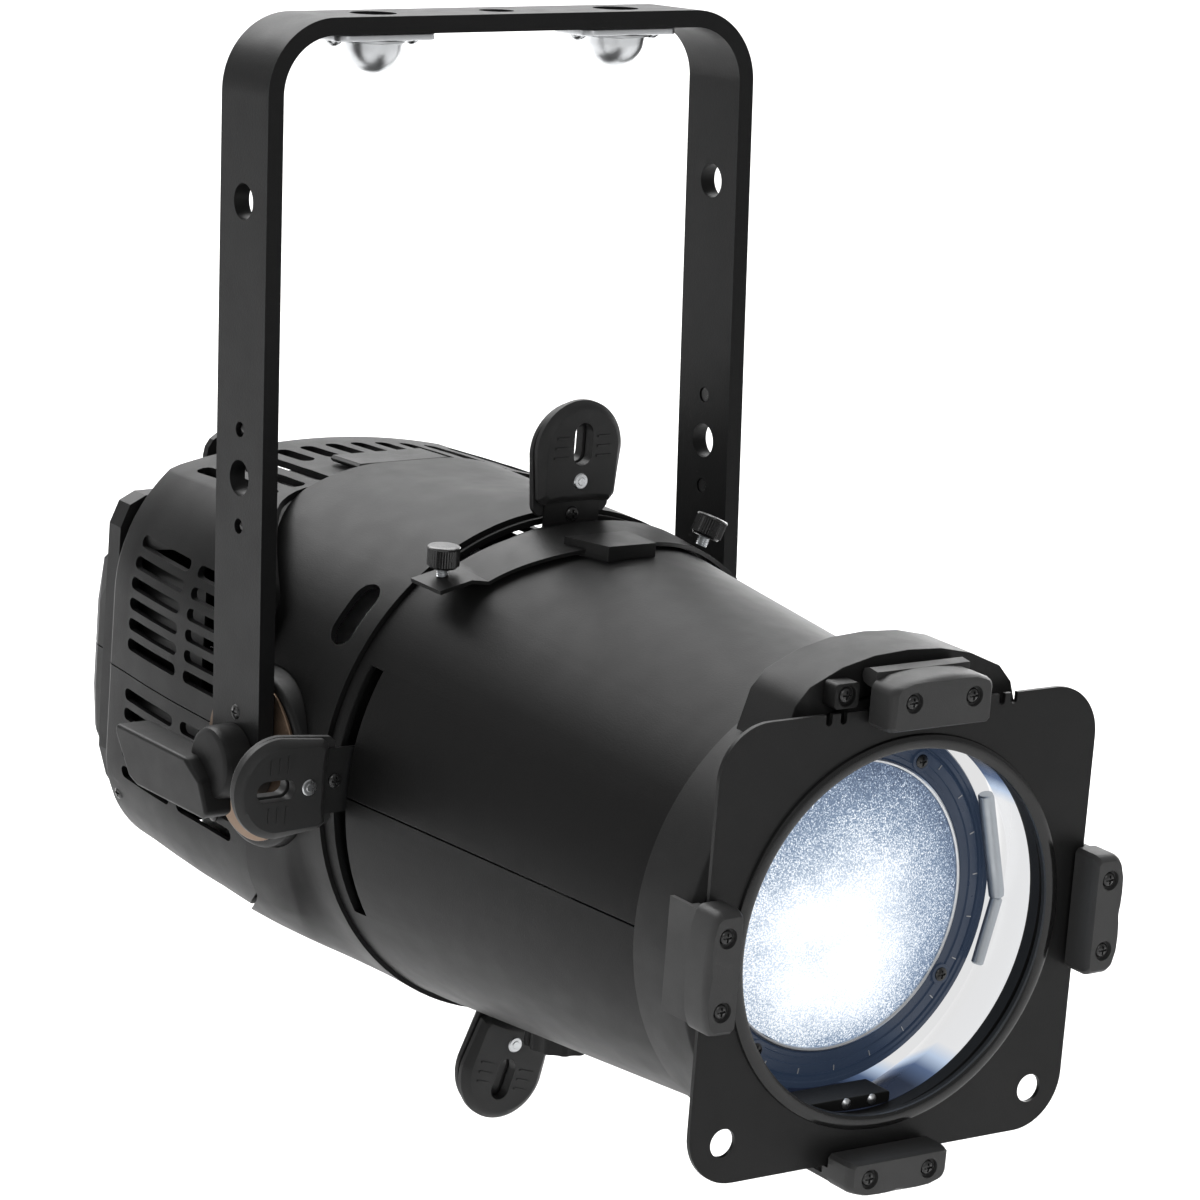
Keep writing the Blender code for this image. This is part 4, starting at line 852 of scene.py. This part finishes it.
def build_shutters():
    """Grips of two halves with ribs and rivet, on tabs with a cross screw."""
    for key in SHUTTER_FACTS:
        place = shutter_place(key)
        body = "shutter_" + key
        hole = arc(0.0, 26.2, 3.9, 0, 180, 12) + arc(0.0, 18.2, 3.9, 180, 360, 12)
        front = layered("grip_front_" + key, grip_shape(0.0, 38.0, 16.4),
                        ((0.5, 0.0), (2.4, 0.0), (3.9, 1.4), (4.8, 3.2)), place)
        combine(front, prism("hole", hole, -8.0, 8.0, place))
        soften(front, 0.35, 2, 28.0)
        settle(front, LAMP, body, "grip", ["shutter_grip_" + key])
        back_half = layered("grip_back_" + key, grip_shape(-4.6, 36.6, 16.2),
                            ((-4.8, 2.6), (-3.9, 1.0), (-2.6, 0.0), (-0.5, 0.0)), place)
        small = arc(0.0, 26.5, 3.2, 0, 180, 12) + arc(0.0, 18.0, 3.2, 180, 360, 12)
        combine(back_half, prism("hole", small, -8.0, 8.0, place))
        soften(back_half, 0.35, 2, 28.0)
        settle(back_half, LAMP, body, "grip")
        ribs = []
        for side in (-1, 1):
            for i, y in enumerate((17.6, 21.2, 24.8)):
                length = 3.4 - 0.3 * i
                ribs.append((slot_outline(2 * length, 0.9, 4), 4.6, 5.15,
                             place @ at(side * (9.2 - 0.2 * i), y, 0.0)))
        settle(prisms("grip_ribs_" + key, ribs), LAMP, body, "grip")
        rivet = revolve("grip_rivet_" + key, [(0.0, 5.5), (1.3, 5.5), (1.5, 5.25), (2.6, 5.2),
                                              (3.0, 4.8), (3.0, 4.2), (0.0, 4.2)],
                        place @ at(0.0, 8.6, 0.0), 36)
        settle(rivet, LAMP, body, "steel")
        cross_screw("tab_screw_" + key, place @ at(0.0, -4.4, 0.45), 2.7, 1.2, body)


def build_cover():
    """Curved slot cover that flattens into a lug on the left, with its raised tab."""
    bm = bmesh.new()
    rows = []
    count = 72
    for x, z in ((-68.4, 77.3), (-62.0, 78.7), (-55.0, 80.2)):
        rows.append([bm.verts.new((x, 181.5 + 19.0 * k / 3, z)) for k in range(4)])
    for i in range(8, count + 1):
        share = i / count
        angle = math.radians(131.0 - 82.0 * share)
        belly = math.sin(math.pi * share) ** 2
        row = []
        low, high = 181.0 - 15.0 * belly, 200.0 - 9.0 * belly
        for k in range(4):
            s = low + (high - low) * k / 3
            radius = barrel_radius(s) + 2.7
            row.append(bm.verts.new((radius * math.cos(angle), s, radius * math.sin(angle))))
        rows.append(row)
    for a, b in zip(rows, rows[1:]):
        for k in range(3):
            bm.faces.new((a[k], b[k], b[k + 1], a[k + 1]))
    strip = make_object("slot_cover_fine", bm)
    if strip.data.polygons[count].normal.z < 0:
        strip.data.flip_normals()
    wall = strip.modifiers.new("wall", "SOLIDIFY")
    wall.thickness = 1.5
    wall.offset = -1.0
    bake(strip)
    raised = prism("raised", [(-13.0, 159.2), (7.0, 158.6), (7.0, 177.0), (-20.0, 177.0)], 88.5,
                   94.4)
    combine(strip, raised, "UNION")
    soften(strip, 0.45, 2, 30.0)
    settle(strip, LAMP, "barrel", "sheet", ["slot_cover"])


def build_cover_screws():
    """Knurled screws of the slot cover: head, cap, collar and bright thread."""
    for suffix, x, z, s, lean in (("left", -59.5, 78.4, 194.0, 0.0),
                                  ("right", 50.6, 82.0, 190.0, 24.0)):
        place = at(x, s, z, turn("Y", lean))
        body = "screw_" + suffix
        head = prism("knurled_head_" + suffix, knurled(72, 5.85, 5.45), 4.6, 10.6, place)
        settle(head, LAMP, body, "screw", ["cover_screw_" + suffix], 20.0)
        cap = revolve("knurled_cap_" + suffix, [(0.0, 11.8), (4.2, 11.8), (5.5, 11.6),
                                                (5.9, 11.2), (5.9, 10.7), (0.0, 10.7)], place, 48)
        settle(cap, LAMP, body, "screw")
        collar = revolve("knurled_collar_" + suffix, [(0.0, 4.5), (5.2, 4.5), (4.8, 3.7),
                                                      (2.4, 3.4), (0.0, 3.4)], place, 40)
        settle(collar, LAMP, body, "screw")
        profile = [(0.0, 3.4)]
        height = 3.4
        while height > 0.6:
            profile += [(2.2, height), (1.8, height - 0.35)]
            height -= 0.7
        profile += [(2.1, 0.2), (0.0, 0.2)]
        thread = revolve("cover_thread_" + suffix, profile, place, 28)
        settle(thread, LAMP, body, "zinc")


def recess_screw(name, block, place, body, radius=2.6):
    """Cut a round recess in a block and return the arguments of a cross screw at its bottom."""
    combine(block, prism("recess", circle(0, 0, radius + 0.9, 32), -1.6, 3.0, place))
    return (name, place @ at(0.0, 0.0, -1.5), radius, 1.3, body)


def holder_block(name, low, high, bulge, profile_rear, matrix):
    """Front bar with a bowed, chamfered outer side, joined to the hook behind it."""
    outline = [(-20.1, 74.6), (20.1, 74.6), (21.4, 75.9)]
    outline += arc(17.9, low - 3.5, 3.5, 0, 75, 5)
    outline += [(x, high - bulge * (x / 19.0) ** 2) for x in range(15, -16, -5)]
    outline += arc(-17.9, low - 3.5, 3.5, 105, 180, 5)
    outline.append((-21.4, 75.9))
    levels = ((3.2, 0.0), (12.2, 0.0), (14.2, 0.7), (15.4, 2.0))
    block = layered(name, outline, levels, matrix @ FACING)
    hook = prism("hook", profile_rear, -19.5, 19.5, matrix @ SIDEWAYS)
    return combine(block, hook, "UNION")


def finish_holder(block, body, node, names, place):
    """Recess two cross screws in a holder block and hang all on a body."""
    screws = []
    for name, x in zip(names, (-12.6, 12.6)):
        screws.append(recess_screw(name, block, place @ at(x, 0.0, 0.0, FACING), body))
    soften(block, 0.5, 2, 40.0)
    settle(block, LAMP, body, "grey_plastic", [node])
    for screw in screws:
        cross_screw(*screw)


def build_collar():
    """Front collar of the barrel."""
    rear = 33.6
    profile = [(82.4, rear), (82.6, 6.4), (82.2, 5.2), (80.4, 2.4), (69.0, 2.4), (66.5, 4.0),
               (66.5, 20.0), (73.0, rear)]
    collar = revolve("front_collar_fine", profile, BACKWARD, 128, closed=True)
    settle(collar, LAMP, "barrel", "plastic", ["front_collar"])


def build_gel_frame():
    """Square accessory frame with its aperture, hanging holes, notches and glossy bead."""
    half = HALF_FRAME
    plate = prism("gel_frame_fine", rounded(-half, -half, half, half, 19.0, 14), 0.1, 1.7, FACING)
    cuts = [circle(0, 0, APERTURE_R, 128)]
    cuts += [circle(x, -64.7, 5.0, 32) for x in (-65.5, 65.5)]
    for x in (-36.5, -30.5, 36.4, 41.6):
        notch = [(x - 1.3, half + 2), (x - 1.3, half - 2.0)] + arc(x, half - 2.6, 1.3, 180, 360, 6)
        cuts.append(notch + [(x + 1.3, half + 2)])
    for cut in cuts:
        combine(plate, prism("cut", cut, -3.0, 5.0, FACING))
    soften(plate, 0.3, 2)
    settle(plate, LAMP, "barrel", "sheet", ["gel_frame"])
    ring = [(64.0, -1.6), (64.1, -2.6), (65.2, -3.3), (67.4, -3.3), (68.8, -2.6), (69.2, -1.6)]
    bead = revolve("aperture_bead", ring, BACKWARD, 128, closed=True)
    settle(bead, LAMP, "barrel", "glossy")


def build_holders():
    """Three fixed clips and the hinged retainer, each with two recessed screws."""
    wall = [(-3.4, 80.8), (-3.4, 85.2), (11.8, 85.2), (11.8, 83.5), (2.0, 83.5), (2.0, 80.8)]
    for side, angle in (("left", 180.0), ("right", 0.0), ("bottom", 270.0)):
        matrix = turn("Y", 90.0 - angle)
        clip = holder_block("gel_clip_fine_" + side, 85.8, 87.9, 1.5, wall, matrix)
        names = ["clip_screw_%s_%d" % (side, i) for i in (1, 2)]
        finish_holder(clip, "barrel", "gel_clip_" + side, names, matrix @ at(0.0, -15.4, 80.9))
    hinge = [(-3.4, 86.7), (-3.4, 92.6), (1.0, 93.1), (3.6, 92.2), (4.6, 90.0), (3.6, 87.8),
             (1.0, 87.0)]
    retainer = holder_block("gel_retainer_fine", 90.4, 92.6, 1.6, hinge, Matrix.Identity(4))
    names = ["retainer_screw_%d" % i for i in (1, 2)]
    finish_holder(retainer, "retainer", "gel_retainer", names, at(0.0, -15.4, 84.6))


def build_hood():
    """Hood behind the retainer, with the screwed ear beside it."""
    crown = [(-50.0, 67.5), (-45.5, 81.0), (-40.0, 87.0), (-27.0, 92.6), (-14.0, 95.4),
             (0.0, 96.2), (14.0, 95.4), (27.0, 92.6), (40.0, 87.0), (45.5, 81.0), (50.0, 67.5)]
    crown += arc(0.0, 0.0, 83.4, 53.5, 126.5, 40)
    hood = prism("retainer_hood_fine", crown, -30.0, -5.4, FACING)
    soften(hood, 0.9, 3, 25.0)
    settle(hood, LAMP, "barrel", "plastic", ["retainer_hood"])
    ear = prism("hood_ear", rounded(-34.6, 80.6, -24.6, 89.4, 1.6), -5.3, 1.4, FACING)
    screw = recess_screw("hood_ear_screw", ear, at(-29.6, -1.4, 85.0, FACING), "barrel")
    soften(ear, 0.5, 2)
    settle(ear, LAMP, "barrel", "plastic")
    cross_screw(*screw)


def build_lens():
    """Lens with a painted glow in its ring, with the carriage arm, flange, bosses and ticks."""
    ring = [(52.1, 31.5), (52.1, 30.4), (52.6, 29.6), (54.0, 29.6), (54.3, 30.3), (56.6, 30.3),
            (56.9, 29.7), (60.0, 29.7), (61.0, 30.8), (61.0, 60.0), (52.1, 60.0)]
    tube = revolve("lens_ring_fine", ring, BACKWARD, 128, closed=True)
    link = prism("link", rounded(-5.0, -75.0, 5.0, -57.0, 0.8, 3), -60.0, -54.0, FACING)
    combine(tube, link, "UNION")
    bar = prism("bar", rounded(-5.0, -76.0, 5.0, -73.0, 0.8, 3), -190.0, -54.5, FACING)
    combine(tube, bar, "UNION")
    settle(tube, LAMP, "carriage", "lens_ring", ["lens_carriage"])
    flange = [(61.4, 31.0), (61.8, 30.4), (63.0, 30.4), (63.3, 29.8), (64.8, 29.8), (65.5, 30.8),
              (65.5, 34.0), (61.4, 34.0)]
    step = revolve("tube_flange", flange, BACKWARD, 128, closed=True)
    settle(step, LAMP, "barrel", "lens_ring")
    rim = revolve("lens_rim", [(50.7, 29.2), (51.4, 28.9), (52.0, 29.2), (52.0, 32.0),
                               (50.7, 32.0)], BACKWARD, 128, closed=True)
    settle(rim, LAMP, "carriage", "zinc")
    dome = [(0.0, 21.1), (6.0, 21.2), (12.0, 21.6), (18.0, 22.3), (24.0, 23.3), (30.0, 24.6),
            (36.0, 26.2), (42.0, 27.9), (47.0, 29.0), (50.4, 29.6), (50.4, 34.0), (0.0, 34.0)]
    lens = revolve("front_lens_fine", dome, BACKWARD, 128)
    settle(lens, LAMP, "carriage", "lens", ["front_lens"])
    bosses = []
    for angle in (58.0, -33.0, 147.0, 237.0):
        a = math.radians(angle)
        place = at(56.4 * math.cos(a), 29.8, 56.4 * math.sin(a), FACING)
        bosses.append((circle(0, 0, 3.7, 32), -0.6, 0.9, place))
        cross_screw("ring_screw_%d" % round(angle % 360), place @ at(0.0, 0.0, 0.8), 2.5, 1.0,
                    "carriage")
    boss = prisms("ring_bosses", bosses)
    soften(boss, 0.3, 2)
    settle(boss, LAMP, "carriage", "lens_ring")
    ticks = []
    for i in range(24):
        angle = i * 15.0 + 4.0
        place = turn("Y", -angle) @ at(59.0, 29.55, 0.0, FACING)
        ticks.append((rectangle(0.95, 0.16), -0.15, 0.1, place))
    settle(prisms("ring_ticks", ticks), LAMP, "carriage", "mark")


def build_tube_inside():
    """Tube wall with painted light, two-stage guide rod and latch seen through the aperture."""
    liner = [(66.3, 9.0), (66.3, 20.1), (72.7, 33.5), (76.3, 34.4), (79.4, 74.0), (79.7, 74.0),
             (76.6, 34.2), (72.9, 33.3), (66.5, 20.0), (66.5, 9.0)]
    shine = revolve("tube_lining", liner, BACKWARD, 160, closed=True)
    settle(shine, LAMP, "barrel", "lit_wall")
    for i, (start, end, radius) in enumerate((((57.5, 34.0), (67.0, -4.0), 2.8),
                                              ((67.0, -4.4), (61.0, -28.0), 2.2))):
        dx, dz = end[0] - start[0], end[1] - start[1]
        length = math.hypot(dx, dz)
        place = at(start[0], 26.4, start[1], turn("Y", math.degrees(math.atan2(dx, dz))))
        profile = [(0.0, 0.0), (radius - 0.5, 0.0), (radius, 0.5), (radius, length - 0.5),
                   (radius - 0.5, length), (0.0, length)]
        rod = revolve("guide_rod_%d" % (i + 1), profile, place, 40)
        settle(rod, LAMP, "barrel", "rod")
    latch = prism("tube_latch", rounded(-24.0, -66.2, 13.0, -61.4, 1.2), -22.0, -9.0, FACING)
    soften(latch, 0.5, 2)
    settle(latch, LAMP, "barrel", "plastic")
    for i, x in enumerate((-6.0, 5.0)):
        dot = revolve("latch_rivet_%d" % (i + 1), [(0.0, 1.0), (1.2, 0.8), (1.9, 0.2),
                                                   (1.9, -0.5), (0.0, -0.5)],
                      at(x, 8.9, -63.4, FACING), 24)
        settle(dot, LAMP, "barrel", "zinc")


def build_focus_knob():
    """Ribbed focus knob on its stem."""
    knob = prism("focus_knob_fine", knurled(48, 12.5, 13.3, 2), -101.9, -94.1, at(0, 184.0, 0))
    stem = revolve("stem", [(0.0, -76.8), (2.6, -76.8), (2.6, -94.2), (11.0, -94.2),
                            (11.0, -97.0), (0.0, -97.0)], at(0, 184.0, 0), 40)
    combine(knob, stem, "UNION")
    soften(knob, 0.5, 2, 25.0)
    settle(knob, LAMP, "knob", "plastic", ["focus_knob"])


def build_vent_shade_sheets():
    """Dark sheet put behind the vents as painted shade, so that no daylight shows through them."""
    bm = bmesh.new()
    curve = [(x, 73.0 - ARCH_R + math.sqrt(ARCH_R ** 2 - x * x)) for x in range(-66, 67, 6)]
    outline = curve + [(x, z - 0.8) for x, z in reversed(curve)]
    prism_into(bm, outline, -372.0, -311.0, FACING)
    for side in (-1, 1):
        low, high = sorted((side * 77.6, side * 78.3))
        side_sheet = [(low, -46.0), (high, -46.0), (high, 46.0), (low, 46.0)]
        prism_into(bm, side_sheet, -370.0, -322.0, FACING)
    settle(make_object("vent_shade_sheets", bm), LAMP, "fixture", "sheet")


def build_body_screws():
    """Small screws that hold the casing."""
    for side, suffix in SIDES:
        for name, x, s, z, lean in (("front_", 91.0, 287.0, -33.0, 90.0),
                                    ("rear_", 81.6, 372.0, -50.0, 98.0)):
            cross_screw("casing_screw_" + name + suffix,
                        at(side * x, s, z, turn("Y", side * lean)), 2.6, 1.2, "fixture")


build_yoke()
build_receptacles()
build_pivots()
build_lever()
build_casing()
build_barrel()
build_peeps()
build_shutters()
build_cover()
build_cover_screws()
build_collar()
build_gel_frame()
build_holders()
build_hood()
build_lens()
build_tube_inside()
build_focus_knob()
build_vent_shade_sheets()
build_body_screws()

# CAD nodes that keep their shape
KEPT = {
    "plastic": ("badge_plate", "rear_frame", "rear_cover_upper", "rear_cover_lower",
                "power_inlet", "fan_frame", "fan_rotor"),
    "display": ("display",),
    "screw": ("data_socket_in", "data_socket_out"),
    "sheet": ("safety_eye", "gate_front", "gate_rear"),
    "aluminium": ("heat_sink", "power_supply"),
    "board": ("led_board",),
    "glass": ("condenser_lens",),
    "rubber": ["menu_button_%d" % i for i in range(1, 5)],
    "blade": ["shutter_blade_" + key for key in SHUTTER_FACTS],
}
for finish, node_names in KEPT.items():
    for node_name in node_names:
        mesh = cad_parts[node_name].data
        mesh.materials.clear()
        mesh.materials.append(MATERIALS[finish])


# ------------------------------------------------------------------ camera, light and floor

def place_camera():
    """Camera to the left of and a little above the lamp."""
    azimuth, elevation = math.radians(CAMERA_AZIMUTH), math.radians(CAMERA_ELEVATION)
    roll = math.radians(CAMERA_ROLL)
    away = Vector((math.sin(azimuth) * math.cos(elevation),
                   -math.cos(azimuth) * math.cos(elevation), math.sin(elevation)))
    right = (-away).cross(Vector((0.0, 0.0, 1.0))).normalized()
    up = right.cross(-away)
    across = math.cos(roll) * right + math.sin(roll) * up
    upward = -math.sin(roll) * right + math.cos(roll) * up
    target = Vector(CAMERA_TARGET) * MM
    matrix = Matrix((across, upward, away)).transposed().to_4x4()
    matrix.translation = target + away * CAMERA_DISTANCE * MM
    data = bpy.data.cameras.new("camera")
    data.lens = 150.0
    data.sensor_width = 36.0
    data.clip_start = 0.05
    data.clip_end = 50.0
    camera = bpy.data.objects.new("camera", data)
    camera.matrix_world = matrix
    bpy.context.scene.collection.objects.link(camera)
    bpy.context.scene.camera = camera


def area_light(name, location, target, size, power, size_y=None):
    """Rectangular soft light."""
    data = bpy.data.lights.new(name, "AREA")
    data.shape = "RECTANGLE"
    data.size = size
    data.size_y = size_y or size
    data.energy = power
    light = bpy.data.objects.new(name, data)
    light.location = location
    direction = Vector(target) - Vector(location)
    light.rotation_euler = direction.to_track_quat("-Z", "Y").to_euler()
    bpy.context.scene.collection.objects.link(light)
    return light


def build_studio():
    """Pale floor that curves up into a backdrop, and soft lights."""
    bm = bmesh.new()
    floor_z, reach, radius = -0.62, 4.0, 1.2
    profile = [(-4.0, floor_z), (reach - radius, floor_z)]
    profile += arc(reach - radius, floor_z + radius, radius, -84, 0, 14)
    profile.append((reach, 5.0))
    low = [bm.verts.new((-6.0, y, z)) for y, z in profile]
    high = [bm.verts.new((6.0, y, z)) for y, z in profile]
    for i in range(len(profile) - 1):
        bm.faces.new((low[i], high[i], high[i + 1], low[i + 1]))
    floor = make_object("studio_floor", bm)
    floor.data.transform(turn("Z", CAMERA_AZIMUTH))
    floor.data.shade_smooth()
    material, tree, shader = node_material("studio_paper", (0.93, 0.93, 0.93), 0.9)
    tree.links.new(ramp(tree, noise(tree, 3.0), ((0.3, grey(0.90)), (0.7, grey(0.93)))),
                   shader.inputs["Base Color"])
    floor.data.materials.append(material)
    world = bpy.data.worlds.new("studio")
    world.use_nodes = True
    world.node_tree.nodes["Background"].inputs["Color"].default_value = (1.0, 1.0, 1.0, 1.0)
    world.node_tree.nodes["Background"].inputs["Strength"].default_value = 0.32
    bpy.context.scene.world = world
    centre = (0.0, 0.0, -0.25)
    area_light("overhead_softbox", (0.6, 2.6, 3.0), (0.4, 2.2, -0.62), 5.0, 300.0, size_y=3.4)
    area_light("right_rim", (1.6, 0.9, 0.2), centre, 0.7, 9.0)
    area_light("left_edge", (-1.7, 0.9, 0.2), centre, 0.6, 1.2)
    area_light("front_fill", (-0.6, -2.4, 0.7), centre, 0.9, 8.5)
    bpy.context.scene.view_settings.view_transform = "Standard"


place_camera()
build_studio()
bpy.context.view_layer.update()
